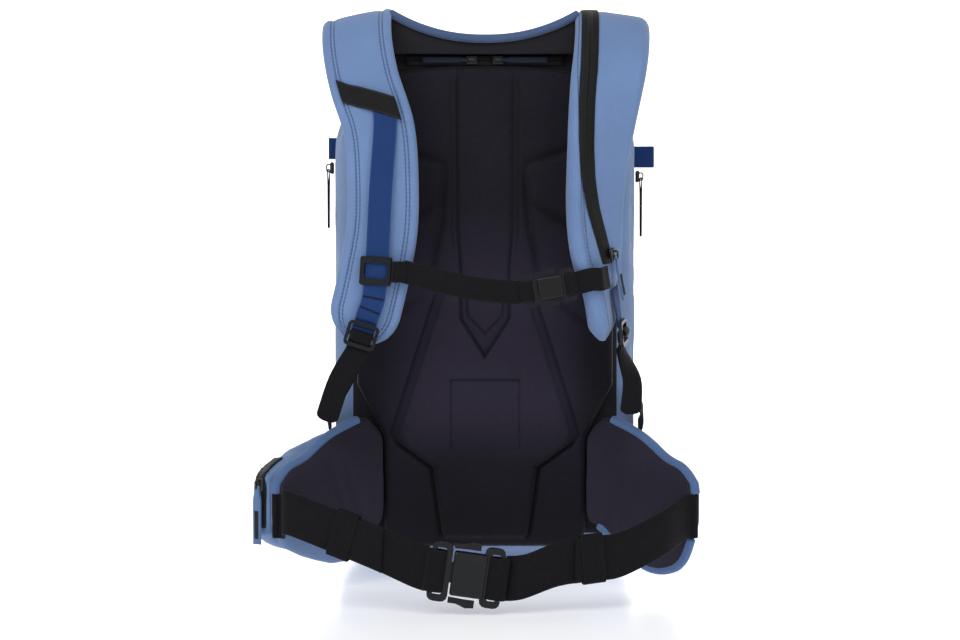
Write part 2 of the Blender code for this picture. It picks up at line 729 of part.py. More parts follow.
def strap_outlines(frames, side, face, slump, seam=None):
    """Outlines of a padded strap, round at its lower tip, with two points on the face beside a seam.

    Where the strap lies over the top of the bag, it slumps towards its outer edge, beyond any seam.
    """
    lengths = [0.0]
    for first, second in zip(frames, frames[1:]):
        lengths.append(lengths[-1] + (second.place - first.place).length)
    outlines = []
    for frame, length in zip(frames, lengths):
        left = lengths[-1] - length
        share = 1.0
        if left < STRAP_TIP:
            share = math.sqrt(1 - 0.86 * (1 - left / STRAP_TIP) ** 2)
        half = STRAP_HALF_WIDTH * share
        outline = pad_outline(-half, half, -face, face, STRAP_EDGE, STRAP_CROWN)
        if seam:
            limit = half - 1.2 * STRAP_EDGE
            middle = max(-limit * 0.75, min(limit * 0.75, seam(frame.place.z)))
            reach = min(ZIP_TAPE_WIDTH / 2, limit - abs(middle))
            outline[6:6] = [(middle + reach, face), (middle - reach, face)]
        start = seam(frame.place.z) + ZIP_TAPE_WIDTH / 2 if seam else -half
        lying = slump * max(0.0, frame.normal.z)
        outlines.append([(a, n - lying * max(0.0, (side * a - start) / (half - start))) for a, n in outline])
    return outlines


def zip_offset(z):
    """Place of the strap zip across the right strap at a height."""
    drop = PACK_HEIGHT - z
    inset = ZIP_INSETS[0][1] if drop < ZIP_INSETS[0][0] else ZIP_INSETS[-1][1]
    for (high, first), (low, second) in zip(ZIP_INSETS, ZIP_INSETS[1:]):
        if high <= drop <= low:
            inset = first + (second - first) * (drop - high) / (low - high)
    return inset - STRAP_HALF_WIDTH


def zip_frames(frames, low_drop):
    """Frames of the right strap moved across to the line of its zip, down to a height."""
    low_z = PACK_HEIGHT - low_drop
    kept = [f for f in frames if f.place.z > low_z + 0.004] + [at_height(frames, low_z)]
    return [f._replace(place=spot(f, zip_offset(f.place.z), RIGHT_FACE)) for f in kept]


def left_strap(frames):
    obj = add("left_shoulder_strap", loft(frames, strap_outlines(frames, -1, LEFT_FACE, LEFT_SLUMP)), "strap_fabric")
    return combine(obj, pack_block(GAP), "DIFFERENCE")


def right_strap(frames):
    """Thicker strap with a groove under its zip for the trigger handle and cable."""
    outlines = strap_outlines(frames, 1, RIGHT_FACE, RIGHT_SLUMP, zip_offset)
    obj = add("right_shoulder_strap", loft(frames, outlines), "strap_fabric")
    combine(obj, pack_block(GAP), "DIFFERENCE")
    line = zip_frames(frames, GROOVE_LOW_DROP)
    first = line[0]
    line = [first._replace(place=first.place - first.along * GROOVE_DEPTH)] + line
    groove = band_outline(GROOVE_WIDTH, 2 * GROOVE_DEPTH)
    combine(obj, loft(line, [groove] * len(line)), "DIFFERENCE")
    room, high = HANDLE_ROOM, 1.5 * HANDLE_STEM
    low = -HANDLE_LENGTH - PLUNGER_STROKE - RUNNING_GAP
    bore = turned([(0, high), (room, high), (room, low), (0, low)], 10)
    bore.transform(handle_matrix(zip_frames(frames, GROOVE_LOW_DROP)))
    return combine(obj, bore, "DIFFERENCE")


def handle_matrix(line):
    """Place of the trigger handle in the groove: its top, with Z up along it."""
    top_z = PACK_HEIGHT - HANDLE_TOP_DROP
    ends = [spot(at_height(line, z), 0, -GROOVE_DEPTH / 2) for z in (top_z, top_z - HANDLE_LENGTH)]
    turn = (ends[0] - ends[1]).to_track_quat("Z", "X").to_matrix().to_4x4()
    return Matrix.Translation(ends[0]) @ turn


def strap_zip_tape(frames):
    line = zip_frames(frames, ZIP_LOW_DROP)
    lift = 2 * GAP + ZIP_TAPE_THICKNESS / 2
    outline = band_outline(ZIP_TAPE_WIDTH - 4 * GAP, ZIP_TAPE_THICKNESS, 0, lift)
    return add("strap_zip_tape", loft(line, [outline] * len(line)), "zip_tape"), line


# Left strap webbing: place across the strap, drop below the top of the bag, lift off the strap
LEFT_SEWN = ((0.0059, 0.072, SEWN_LIFT), (0.0027, 0.090, 0.5 * RAIL_LIFT))
LEFT_RAIL = ((-0.0017, 0.1450, RAIL_LIFT), (0.0040, 0.2300, RAIL_LIFT))
LEFT_HUNG = ((0.0041, 0.2410, RAIL_LIFT), (0.0032, 0.2585, RAIL_LIFT))
SLIDER_DROP = 0.2145
# Right strap webbing: drop below the slider of the strap zip, lift off the strap
RIGHT_WEBBING = ((0.030, 0.0032), (0.046, 0.0052), (0.058, 0.0077))
RIGHT_WEBBING_ASIDE = 0.006
# Tails: points from the hinge of the ladder lock
LEFT_TAIL = ((-0.0217, -0.0017, -0.0482), (-0.0332, 0.0063, -0.0802))
RIGHT_TAIL = ((0.0116, -0.0104, -0.0509), (0.0126, -0.0084, -0.0789))
RIGHT_TAIL_ACROSS = (0.95, 0.28, 0.12)  # direction across its free end
# Lower webbing: share of the way from the lock to the bag, then aside, outwards and sag from that line
LEFT_LOWER = ((0.258, 0.0079, 0.0100, 0.0109), (0.629, 0.0114, 0.0090, 0.0089))
RIGHT_LOWER = ((0.237, 0.0022, 0.0135, 0.0140), (0.641, 0.0088, 0.0107, 0.0088))
LOWER_ANCHOR_INSET = 0.042  # from the back wall of the bag
LOWER_ANCHOR_DROP = 0.362  # below the top of the bag


def left_webbing_points(frames, rows):
    points = []
    for aside, drop, lift in rows:
        frame = at_height(frames, PACK_HEIGHT - drop)
        points.append(frame.place + Vector((aside, -LEFT_FACE - lift, 0)))
    return points


def oval(wide, high, steps=12):
    turns = [math.tau * i / steps for i in range(steps)]
    return [(wide * math.cos(turn), high * math.sin(turn)) for turn in turns]


def bar_loop(frame, drop):
    """Turn of webbing round a ladder lock's bar that lies a drop below the frame."""
    outside = LOOP_INSIDE + WEBBING_THICKNESS
    mesh = plate([oval(outside, outside), oval(LOOP_INSIDE, LOOP_INSIDE)], STRAP_WEBBING_WIDTH - 2 * GAP)
    turn = Matrix.Rotation(math.pi / 2, 4, "Y")
    mesh.transform(Matrix.Translation((0, -drop, 0)) @ turn)
    holder = place(add("holder", mesh), frame)
    mesh.transform(holder.matrix_world)
    bpy.data.objects.remove(holder)
    return mesh


def ladder_lock(name, frame):
    """Three-bar adjuster, hung on the loop round its top bar, which is its hinge."""
    inside = STRAP_WEBBING_WIDTH / 2 + 3 * GAP
    half = inside + LOCK_SIDE
    bar = LOCK_BAR / 2
    low = -2 * LOCK_PITCH
    outer = rounded(-half, low - bar - GAP, half, bar, LOCK_CORNER, 3)
    upper = rounded(-inside, -LOCK_PITCH + bar, inside, -bar, bar / 2, 1)
    lower = rounded(-inside, low + bar, inside, -LOCK_PITCH - bar, bar / 2, 1)
    obj = add(name, plate([outer, upper, lower], LOCK_BAR), "buckle_plastic")
    say_joint(name + "_tilt", frame.place, frame.across)
    return place(obj, frame)


def shoulder_webbing(name, points, acrosses, lock_frame):
    """Strap webbing that ends in the turn round the ladder lock's top bar."""
    obj, _ = band(name, points, acrosses, STRAP_WEBBING_WIDTH, WEBBING_THICKNESS, "navy_webbing")
    combine(obj, bar_loop(lock_frame, 0.0), "UNION")
    return obj


def tail_webbing(name, lock_frame, points, end_across):
    """Free end of the lower webbing: it turns round the middle bar of the lock, hangs down and twists."""
    start = spot(lock_frame, 0, LOOP_RADIUS - WEBBING_THICKNESS * 0.2) + lock_frame.along * LOCK_PITCH
    front = [start, start + lock_frame.along * 1.75 * LOCK_PITCH]
    places = front + [lock_frame.place + Vector(p) for p in points]
    acrosses = [lock_frame.across.lerp(end_across, t) for t in (0.0, 0.0, 0.7, 1.0)]
    rows = [[*at, *across] for at, across in zip(places, acrosses)]
    rows[1:] = smooth(rows[1:], 3)
    obj, _ = band(name, [row[:3] for row in rows], [row[3:] for row in rows], STRAP_WEBBING_WIDTH,
                  WEBBING_THICKNESS, "black_webbing")
    return combine(obj, bar_loop(lock_frame, LOCK_PITCH), "UNION")


def lower_webbing(name, lock_frame, side, rows):
    """Black webbing from behind the ladder lock to the side of the bag."""
    behind = LOCK_BAR / 2 + 2.6 * WEBBING_THICKNESS
    start = spot(lock_frame, 0, -behind) + lock_frame.along * 2.4 * LOCK_PITCH
    side_x = SIDE_X + 2 * GAP + WEBBING_THICKNESS
    anchor_z = PACK_HEIGHT - LOWER_ANCHOR_DROP
    on_side = Vector((side * side_x, PACK_BACK_Y + LOWER_ANCHOR_INSET, anchor_z))
    bow = [start.lerp(on_side, t) + Vector((side * aside, -out, -sag)) for t, aside, out, sag in rows]
    places = [start, *bow, on_side]
    end_across = Vector((0, 0.8 * side, 0.6 * side))
    last = len(places) - 1
    acrosses = [lock_frame.across.lerp(end_across, i / last) for i in range(len(places))]
    rows = smooth([[*at, *across] for at, across in zip(places, acrosses)], 3)
    obj, _ = band(name, [row[:3] for row in rows], [row[3:] for row in rows], STRAP_WEBBING_WIDTH,
                  WEBBING_THICKNESS, "black_webbing")
    return combine(obj, pack_block(GAP), "DIFFERENCE")


# Buckles, modelled flat with x along the webbing, y across and z outwards


def side_release(prefix, frame, width, size, tab_names, finish_name):
    """Side-release buckle: a male half on the left, two sprung release arms and a female half."""
    half = width / 2 + size * 0.10
    block_left, block_right = -0.19 * size, 0.27 * size
    female_right, male_left = 0.52 * size, -0.50 * size
    thick, thin = 0.17 * size, 0.085 * size
    arm = 0.075 * size
    arm_in = half - arm
    block_half = arm_in - 0.035 * size
    slot = width / 2 + 2 * GAP

    body = box((block_left, -block_half, -thick / 2), (block_right, block_half, thick / 2), 0.03 * size, 2)
    female = add(prefix + "_buckle_female", body, finish_name)
    frame_outer = rounded(block_right - 0.04 * size, -half, female_right, half, 0.09 * size, 3)
    frame_inner = rounded(block_right + 0.05 * size, -slot, female_right - 0.055 * size, slot, 0.03 * size, 1)
    combine(female, plate([frame_outer, frame_inner], thin), "UNION")
    mouth_half, mouth_deep = 0.5 * block_half, 0.26 * thick
    mouth = box((block_left - size, -mouth_half, -mouth_deep), (0.16 * size, mouth_half, mouth_deep))
    combine(female, mouth, "DIFFERENCE")

    male_right = block_left - 0.02 * size
    male_outer = rounded(male_left, -half, male_right, half, 0.09 * size, 3)
    male_inner = rounded(male_left + 0.055 * size, -slot, male_right - 0.075 * size, slot, 0.03 * size, 1)
    male = add(prefix + "_buckle_male", plate([male_outer, male_inner], thin), finish_name)
    tongue_half, tongue_deep = mouth_half - 2 * GAP, mouth_deep - 2 * GAP
    tongue_left, tongue_right = male_right - 0.03 * size, 0.14 * size
    tongue = box((tongue_left, -tongue_half, -tongue_deep), (tongue_right, tongue_half, tongue_deep))
    combine(male, tongue, "UNION")

    arms = []
    root_x = male_right + 2 * GAP
    tip_x = 0.17 * size
    for sign, name in zip((1, -1), tab_names):
        outline = [
            (root_x, arm_in), (0.0, arm_in + 0.01 * size), (tip_x, arm_in + 0.01 * size),
            (tip_x, half + 0.03 * size), (0.05 * size, half + 0.045 * size), (-0.08 * size, half),
            (root_x, half),
        ]
        pivot = Vector((root_x, (arm_in + half) / 2, 0))
        local = [(x - pivot.x, sign * (y - pivot.y)) for x, y in outline]
        tab = add(name, plate([local], 0.9 * thin), finish_name)
        hinge = frame.place + frame.across * pivot.x - frame.along * sign * pivot.y
        place(tab, frame._replace(place=hinge))
        say_joint(name + "_press", hinge, frame.normal * -sign)
        arms.append(tab)
    for obj in (female, male):
        place(obj, frame)
    say_joint(prefix + "_buckle_release", frame.place, -frame.across)
    return female, male, arms


def webbing_turn(name, frame, bar_x, width, size, finish_name):
    """Turn of webbing round the bar of a buckle half, its legs closed towards the webbing."""
    bar = 0.055 * size
    inner, outer = bar * 0.5 + 2 * GAP, bar * 0.5 + 2 * GAP + HIP_WEBBING_THICKNESS
    thin = 0.085 * size / 2
    outside = oval(outer, thin + 2 * GAP + HIP_WEBBING_THICKNESS)
    mesh = plate([outside, oval(inner * 1.25, thin * 1.35 + GAP)], width - 0.06 * size)
    mesh.transform(Matrix.Translation((bar_x, 0, 0)) @ Matrix.Rotation(math.pi / 2, 4, "X"))
    return place(add(name, mesh, finish_name), frame)


# Zip sliders, modelled flat with y along the zip and z outwards


def zip_slider(name, frame, travel_name):
    """Slider with the bail that its pull hangs from."""
    half_wide, half_long = SLIDER_WIDTH / 2, SLIDER_LENGTH / 2
    body = box((-half_wide, -half_long, 0), (half_wide, half_long, SLIDER_BODY), SLIDER_BODY * 0.28)
    obj = add(name, body, "zip_metal")
    reach = half_long * 0.72
    top = SLIDER_BODY + BAIL_HEIGHT
    shoulder, inside = top - BAIL_WALL, reach - BAIL_WALL
    bail = [(-reach, SLIDER_BODY * 0.6), (reach, SLIDER_BODY * 0.6), (reach, shoulder), (reach * 0.6, top),
            (-reach * 0.6, top), (-reach, shoulder)]
    hole = rounded(-inside, SLIDER_BODY + GAP, inside, shoulder, BAIL_WALL / 2, 1)
    mesh = plate([bail, hole], BAIL_WIDTH)
    mesh.transform(Matrix.Rotation(math.pi / 2, 4, "Z") @ Matrix.Rotation(math.pi / 2, 4, "X"))
    combine(obj, mesh, "UNION")
    say_joint(travel_name, frame.place, -frame.along)
    return place(obj, frame)


def zip_pull(name, frame, length, hang=None):
    """Pull tab on the bail, hanging from the bar of its eye, which is its hinge."""
    half, bar = PULL_WIDTH / 2, PULL_BAR / 2
    outline = rounded(-half, -length, half, bar, PULL_RIM, 1)
    eye = rounded(-half + PULL_RIM, -bar - PULL_EYE, half - PULL_RIM, -bar, bar, 1)
    obj = add(name, plate([outline, eye], PULL_THICKNESS), "pull_fabric")
    lift = SLIDER_BODY + BAIL_HEIGHT * 0.42
    hinge = frame.place + frame.normal * lift + frame.along * SLIDER_LENGTH * 0.16
    down = frame
    if hang is not None:
        along = (hang - frame.across * hang.dot(frame.across)).normalized()
        down = Frame(hinge, frame.across, along, along.cross(frame.across))
    place(obj, down._replace(place=hinge))
    say_joint(name + "_swing", hinge, frame.across)
    return obj


def zip_set(slider_name, pull_name, frame, pull_length, hang=None):
    zip_slider(slider_name, frame, slider_name + "_slide")
    zip_pull(pull_name, frame, pull_length, hang)


def level_frame(point, normal, up):
    """Frame on a surface from its outward direction and the way that is up along the zip."""
    normal = Vector(normal).normalized()
    along = -Vector(up)
    along = (along - normal * along.dot(normal)).normalized()
    return Frame(Vector(point), normal.cross(along), along, normal)


# Hip fins: reach beyond the panel's edge, stand-off from its face, lower and upper edge
FIN_ROOT = (0.0032, 0.058, 0.137)
FIN = (
    (0.0170, 0.006, 0.050, 0.153), (0.0350, 0.019, 0.033, 0.147), (0.0530, 0.032, 0.020, 0.136),
    (0.0690, 0.049, 0.020, 0.121), (0.0815, 0.065, 0.031, 0.114), (0.0895, 0.0765, 0.060, 0.102),
)
# Pocket on the left fin: its lower and upper edge and its swell at the places of the fin
POCKET = (
    (0.047, 0.149, 0.55), (0.030, 0.143, 0.85), (0.017, 0.132, 1.0),
    (0.017, 0.121, 1.0), (0.028, 0.113, 0.80), (0.044, 0.111, 0.45),
)


def fin_frames():
    """Frames along the right fin, the first one on the wall of the bag beside the panel."""
    reaches = [FIN_ROOT[0], *(reach for reach, _, _, _ in FIN)]
    faces = [PACK_BACK_Y - FIN_THICKNESS / 2, *(PANEL_FACE_Y - out for _, out, _, _ in FIN)]
    places = [Vector((PANEL_HIP_HALF_WIDTH + reach, y, 0)) for reach, y in zip(reaches, faces)]
    return frames_of(places, [Vector((0, 0, 1))] * len(places))


def fin_mesh(face, edge):
    edges = [FIN_ROOT[1:], *((low, high) for _, _, low, high in FIN)]
    return loft(fin_frames(), [pad_outline(low, high, -face, face, edge) for low, high in edges])


def mirror_x(mesh):
    mesh.transform(Matrix.Scale(-1, 4, (1, 0, 0)))
    bm = bmesh.new()
    bm.from_mesh(mesh)
    return mesh_of(bm, "mirrored")


def hip_fins():
    face = FIN_THICKNESS / 2
    right = add("right_hip_fin", fin_mesh(face, FIN_THICKNESS * 0.3), "panel_foam")
    left = add("left_hip_fin", mirror_x(fin_mesh(face, FIN_THICKNESS * 0.3)), "panel_foam")
    for obj in (right, left):
        combine(obj, pack_block(GAP), "DIFFERENCE")


def hip_pocket():
    """Zipped pocket that swells from the outer side of the left fin."""
    inner = -FIN_THICKNESS / 2 - GAP
    outlines = [
        pad_outline(low, high, inner - POCKET_BULGE * share, inner, POCKET_BULGE * share * 0.42)
        for low, high, share in POCKET
    ]
    obj = add("hip_pocket", mirror_x(loft(fin_frames()[1:], outlines)), "shell_fabric")
    return combine(obj, pack_block(2 * GAP), "DIFFERENCE")


def pocket_end_frame():
    """Frame on the end of the hip pocket, near its top, for the slider of its zip."""
    fin = fin_frames()[-1]
    _, high, share = POCKET[-1]
    point = spot(fin, high - HIP_SLIDER_DROP, -FIN_THICKNESS / 2 - GAP - POCKET_BULGE * share / 2)
    point = point + fin.along * RUNNING_GAP / 2
    mirror = Vector((-1, 1, 1))
    return level_frame(point * mirror, fin.along * mirror, (0, 0, 1))


# Belt webbing from the tip of a fin to the buckle: share of the way, and how far aside, outwards
# and below the straight line
RIGHT_BELT = (
    (0.178, 0.0066, 0.0136, 0.0025), (0.428, 0.0090, 0.0161, 0.0072), (0.581, 0.0076, 0.0159, 0.0029),
    (0.742, 0.0054, 0.0133, -0.0009), (0.920, 0.0044, 0.0095, 0.0011),
)
LEFT_BELT = (
    (0.060, 0.0043, 0.0113, -0.0080), (0.352, 0.0034, 0.0090, -0.0063), (0.655, 0.0013, 0.0040, -0.0034),
    (0.895, 0.0007, 0.0013, -0.0002),
)


def belt_start(side):
    """Where the belt webbing lies on the inner face of a fin's tip."""
    frame = fin_frames()[-2]
    _, _, low, high = FIN[-2]
    out = FIN_THICKNESS / 2 + 2 * RUNNING_GAP + HIP_WEBBING_THICKNESS / 2
    point = spot(frame, (low + high) / 2, out) + frame.along * 8 * HIP_WEBBING_THICKNESS
    return Vector((side * point.x, point.y, point.z))


def belt(name, side, points, end):
    """Belt webbing from the tip of a fin to a half of the buckle."""
    start = belt_start(side)
    between = [start.lerp(end, t) + Vector((side * aside, -out, -sag)) for t, aside, out, sag in points]
    places = [Vector(p) for p in smooth([tuple(p) for p in (start, *between, end)], 3)]
    level, tilted = Vector((0, 0, 1)), Vector((-math.sin(HIP_TILT), 0, math.cos(HIP_TILT)))
    last = len(places) - 1
    acrosses = [level.lerp(tilted, max(0.0, 2 * i / last - 1)) for i in range(len(places))]
    return band(name, places, acrosses, HIP_WEBBING_WIDTH, HIP_WEBBING_THICKNESS, "black_webbing", False)


def keeper(name, frame):
    """Elastic band that keeps the spare belt webbing flat."""
    wide, deep = HIP_WEBBING_WIDTH / 2 + 3 * GAP, HIP_WEBBING_THICKNESS / 2 + 2 * RUNNING_GAP
    wall = KEEPER_WALL
    hole = rounded(-wide, -deep, wide, deep, deep * 0.5, 1)
    outer = rounded(-wide - wall, -deep - wall, wide + wall, deep + wall, deep, 2)
    mesh = plate([outer, hole], KEEPER_LENGTH)
    mesh.transform(Matrix.Rotation(math.pi / 2, 4, "X"))
    return place(add(name, mesh, "black_webbing"), frame)


def hip_buckle_frame():
    across = Vector((math.cos(HIP_TILT), 0, math.sin(HIP_TILT)))
    normal = Vector((0, -1, 0))
    along = across.cross(normal)
    return Frame(Vector((HIP_BUCKLE_X, PANEL_FACE_Y - HIP_STANDOFF, HIP_BUCKLE_Z)), across, along, normal)


def hip_belt():
    hip_fins()
    hip_pocket()
    frame = hip_buckle_frame()
    names = ("hip_release_tab_upper", "hip_release_tab_lower")
    side_release("hip", frame, HIP_WEBBING_WIDTH, HIP_BUCKLE_SIZE, names, "buckle_plastic")
    size = HIP_BUCKLE_SIZE
    male_bar, female_bar = -0.4725 * size, 0.4925 * size
    webbing_turn("hip_webbing_turn", frame, male_bar, HIP_WEBBING_WIDTH, size, "black_webbing")
    left_end = spot(frame, male_bar - 0.1417 * size, -0.05 * size)
    right_end = spot(frame, female_bar + 0.0425 * size, -0.1033 * size)
    _, left = belt("left_hip_webbing", -1, LEFT_BELT, left_end)
    _, right = belt("right_hip_webbing", 1, RIGHT_BELT, right_end)
    for name, frames, at in (("left_belt_keeper", left, 7), ("right_belt_keeper", right, 9)):
        square = frames_of([f.place for f in frames], [f.across for f in frames])
        keeper(name, square[at])


# Left sternum webbing: share of the way from the slider to the buckle, and how far outwards and
# below the straight line
STERNUM_SAG = ((0.30, 0.003, 0.0022), (0.65, 0.003, 0.0034))


def sternum_slider(rail_frame):
    """Slider that rides on the webbing of the left strap, with a lug for the sternum webbing."""
    wide = STRAP_WEBBING_WIDTH / 2 + 3 * GAP
    slot, wall, high = RAIL_SLOT, STERNUM_SLIDER_SIDE, STERNUM_SLIDER_HEIGHT / 2
    deep = slot + STERNUM_SLIDER_WALL
    body = box((-wide - wall, -high, -deep), (wide + wall, high, deep), wall * 0.46)
    obj = add("sternum_slider", body, "buckle_plastic")
    combine(obj, box((-wide, -2 * high, -slot), (wide, 2 * high, slot)), "DIFFERENCE")
    window = wide - wall / 2
    combine(obj, box((-window, -0.55 * high, 0), (window, 0.55 * high, 2 * deep)), "DIFFERENCE")
    for sign in (1, -1):
        edges = sorted((sign * 0.3 * high, sign * 2 * high))
        combine(obj, box((-wide + GAP, edges[0], -2 * deep), (wide - GAP, edges[1], 0)), "DIFFERENCE")
    side, rim, half = wide + wall, STERNUM_LUG_RIM, 0.72 * high
    lug = rounded(wide + wall * 0.4, -half, side + STERNUM_LUG, half, rim * 0.9, 2)
    eye = rounded(side + rim * 0.55, rim - half, side + STERNUM_LUG - rim * 1.2, half - rim, rim * 0.36, 1)
    combine(obj, plate([lug, eye], wall, wall * 0.46), "UNION")
    say_joint("sternum_height", rail_frame.place, -rail_frame.along)
    return place(obj, rail_frame), spot(rail_frame, side + STERNUM_LUG, wall * 0.46)


def sternum_strap(rail_frame, right_frames):
    _, lug_end = sternum_slider(rail_frame)
    across = Vector((math.cos(STERNUM_TILT), 0, math.sin(STERNUM_TILT)))
    normal = Vector((0, -1, 0))
    middle = Vector((STERNUM_BUCKLE_X, PANEL_FACE_Y - STERNUM_STANDOFF, STERNUM_BUCKLE_Z))
    frame = Frame(middle, across, across.cross(normal), normal)
    names = ("sternum_release_tab_upper", "sternum_release_tab_lower")
    side_release("sternum", frame, STRAP_WEBBING_WIDTH, STERNUM_BUCKLE_SIZE, names, "buckle_plastic")
    start = lug_end + Vector((4 * GAP, 0, 0))
    end = spot(frame, -0.50 * STERNUM_BUCKLE_SIZE - 4 * GAP, 0)
    route = [start, *(start.lerp(end, t) + Vector((0, -out, -sag)) for t, out, sag in STERNUM_SAG), end]
    places = [Vector(p) for p in smooth([tuple(p) for p in route], 4)]
    last = len(places) - 1
    acrosses = [(-rail_frame.along).lerp(-frame.along, i / last) for i in range(len(places))]
    width, thick = STRAP_WEBBING_WIDTH, WEBBING_THICKNESS
    band("sternum_webbing_left", places, acrosses, width, thick, "black_webbing", False)
    strap = at_height(right_frames, STERNUM_BUCKLE_Z + STERNUM_ANCHOR_RISE)
    out = RIGHT_FACE + 3 * RUNNING_GAP + thick
    start = spot(frame, 0.52 * STERNUM_BUCKLE_SIZE + 4 * GAP, 0)
    corner = spot(strap, RUNNING_GAP - STRAP_HALF_WIDTH, out + RUNNING_GAP)
    anchor = spot(strap, STERNUM_ANCHOR_INSET - STRAP_HALF_WIDTH, out)
    bow = start.lerp(corner, 0.6) + Vector((0, -2 * RUNNING_GAP, RUNNING_GAP))
    route = [start, bow, corner, corner.lerp(anchor, 0.5), anchor]
    band("sternum_webbing_right", route, [Vector((-0.12, 0, 1))] * len(route), width, thick, "black_webbing")


# Inflation system


def cylinder_axis():
    return Vector((SIDE_X - PACK_CORNER - CYLINDER_RADIUS, 0, 0))


def cable_port():
    return Vector((CABLE_PORT_X, PACK_BACK_Y + CABLE_PORT_INSET, PACK_HEIGHT))


def gas_cylinder(axis, floor):
    """Hollow cylinder that stands on the floor of the bag."""
    radius, neck, wall = CYLINDER_RADIUS, NECK_RADIUS, CYLINDER_WALL
    bore, inner = neck * 0.55, radius - wall
    top, foot = floor + CYLINDER_LENGTH, floor + CYLINDER_FOOT
    shoulder = top - CYLINDER_SHOULDER
    profile = [
        (0, floor + 1.5 * wall), (inner * 0.8, floor + 1.5 * wall), (inner, foot + wall / 2),
        (inner, shoulder - wall / 2), (inner * 0.92, top - CYLINDER_SHOULDER * 0.65),
        (bore, top - 1.5 * wall), (bore, top + NECK_HEIGHT), (neck, top + NECK_HEIGHT),
        (neck, top + wall / 2),
        (radius * 0.62, top - wall), (radius * 0.90, top - CYLINDER_SHOULDER / 2), (radius, shoulder),
        (radius, foot), (radius * 0.88, floor + CYLINDER_FOOT / 4), (radius * 0.70, floor), (0, floor),
    ]
    mesh = turned(profile, 20)
    mesh.transform(Matrix.Translation(axis))
    add("gas_cylinder", mesh, "cylinder_paint")
    return top


def bored(obj, x, low, high, radius, steps):
    """Cut an upright round hole into a piece."""
    hole = turned([(0, high), (radius, high), (radius, low), (0, low)], steps)
    hole.transform(Matrix.Translation((x, 0, 0)))
    combine(obj, hole, "DIFFERENCE")


def valve_head(axis, neck_low):
    """Valve head on the neck of the cylinder, with an arm under the ejector; gives its top."""
    low = neck_low + NECK_SHOWN
    high = low + VALVE_HEIGHT
    left, right, arm_x = axis.x - VALVE_HALF_WIDTH, axis.x + VALVE_HALF_WIDTH, axis.x - VALVE_ARM_REACH
    arm_low = high - VALVE_ARM_HEIGHT
    outline = [(left, low), (right, low), (right, high), (arm_x, high), (arm_x, arm_low), (left, arm_low)]
    obj = add("valve_head", prism(outline, -VALVE_DEPTH / 2, VALVE_DEPTH / 2), "valve_metal")
    socket_top = neck_low + NECK_HEIGHT + 3 * GAP
    bored(obj, axis.x, low - VALVE_HEIGHT, socket_top, NECK_RADIUS + GAP, 20)
    bored(obj, axis.x, high - PLUNGER_SEAT, high + VALVE_HEIGHT, PLUNGER_RADIUS + GAP, 12)
    return high


def firing_plunger(axis, seat):
    """Pin that the trigger draws up out of its bore; its origin is the foot of the bore."""
    rod, cap = PLUNGER_RADIUS, PLUNGER_RADIUS * 1.6
    top, under = PLUNGER_LENGTH, PLUNGER_LENGTH - PLUNGER_CAP
    profile = [(0, top), (cap, top), (cap, under), (rod, under - 2 * GAP), (rod, 2 * GAP), (0, 2 * GAP)]
    obj = add("firing_plunger", turned(profile, 12), "valve_metal")
    obj.location = (axis.x, 0, seat)
    say_joint("firing_plunger_slide", obj.location, (0, 0, 1))


def air_ejector(axis, base, tip):
    """Venturi between the valve head's arm and the airbag."""
    wide, waist, mouth = EJECTOR_RADIUS, EJECTOR_RADIUS * 0.62, EJECTOR_RADIUS * 0.95
    mesh = turned([
        (0, tip), (mouth, tip), (mouth, tip - EJECTOR_MOUTH / 3), (waist, tip - EJECTOR_MOUTH),
        (waist, base + EJECTOR_FOOT), (wide, base + EJECTOR_FOOT / 2), (wide, base), (0, base),
    ], 18)
    mesh.transform(Matrix.Translation((axis.x - VALVE_ARM_REACH + EJECTOR_RADIUS, 0, 0)))
    add("air_ejector", mesh, "frame_plastic")


def folded_airbag(low):
    """Rolled airbag under the top of the bag."""
    half, back = BLADDER_WIDTH / 2, BLADDER_BACK_Y
    roll = box((-half, back, low), (half, back + BLADDER_DEPTH, low + BLADDER_HEIGHT), BLADDER_EDGE, 3)
    obj = add("folded_airbag", roll, "bladder_fabric")
    combine(obj, pack_block(-SHELL_WALL - GAP), "INTERSECT")


def inflation_system(line):
    axis = cylinder_axis()
    neck_low = gas_cylinder(axis, SHELL_WALL + GAP)
    valve_top = valve_head(axis, neck_low)
    seat = valve_top - PLUNGER_SEAT
    firing_plunger(axis, seat)
    bladder_low = PACK_HEIGHT - SHELL_WALL - GAP - BLADDER_HEIGHT
    air_ejector(axis, valve_top + GAP, bladder_low - GAP)
    folded_airbag(bladder_low)
    trigger_handle(line)
    trigger_cable(line, axis, seat + PLUNGER_LENGTH + PLUNGER_STROKE + RUNNING_GAP)


def trigger_handle(line):
    """Ribbed handle under the strap zip."""
    r, length, end = HANDLE_RADIUS, HANDLE_LENGTH, 0.055 * HANDLE_LENGTH
    profile = [(0, HANDLE_STEM), (CORD_RADIUS, HANDLE_STEM), (CORD_RADIUS, 0), (r * 0.7, 0), (r, -end)]
    rib = length / (4 * HANDLE_RIBS)
    for i in range(HANDLE_RIBS):
        z = -length * (0.16 + 0.68 * i / (HANDLE_RIBS - 1))
        profile += [(r, z + rib), (r * 0.82, z), (r, z - rib)]
    profile += [(r, end - length), (r * 0.7, -length), (0, -length)]
    obj = add("trigger_handle", turned(profile, 10), "handle_plastic")
    obj.matrix_world = handle_matrix(line)
    say_joint("trigger_pull", obj.matrix_world.translation, -obj.matrix_world.col[2].xyz)


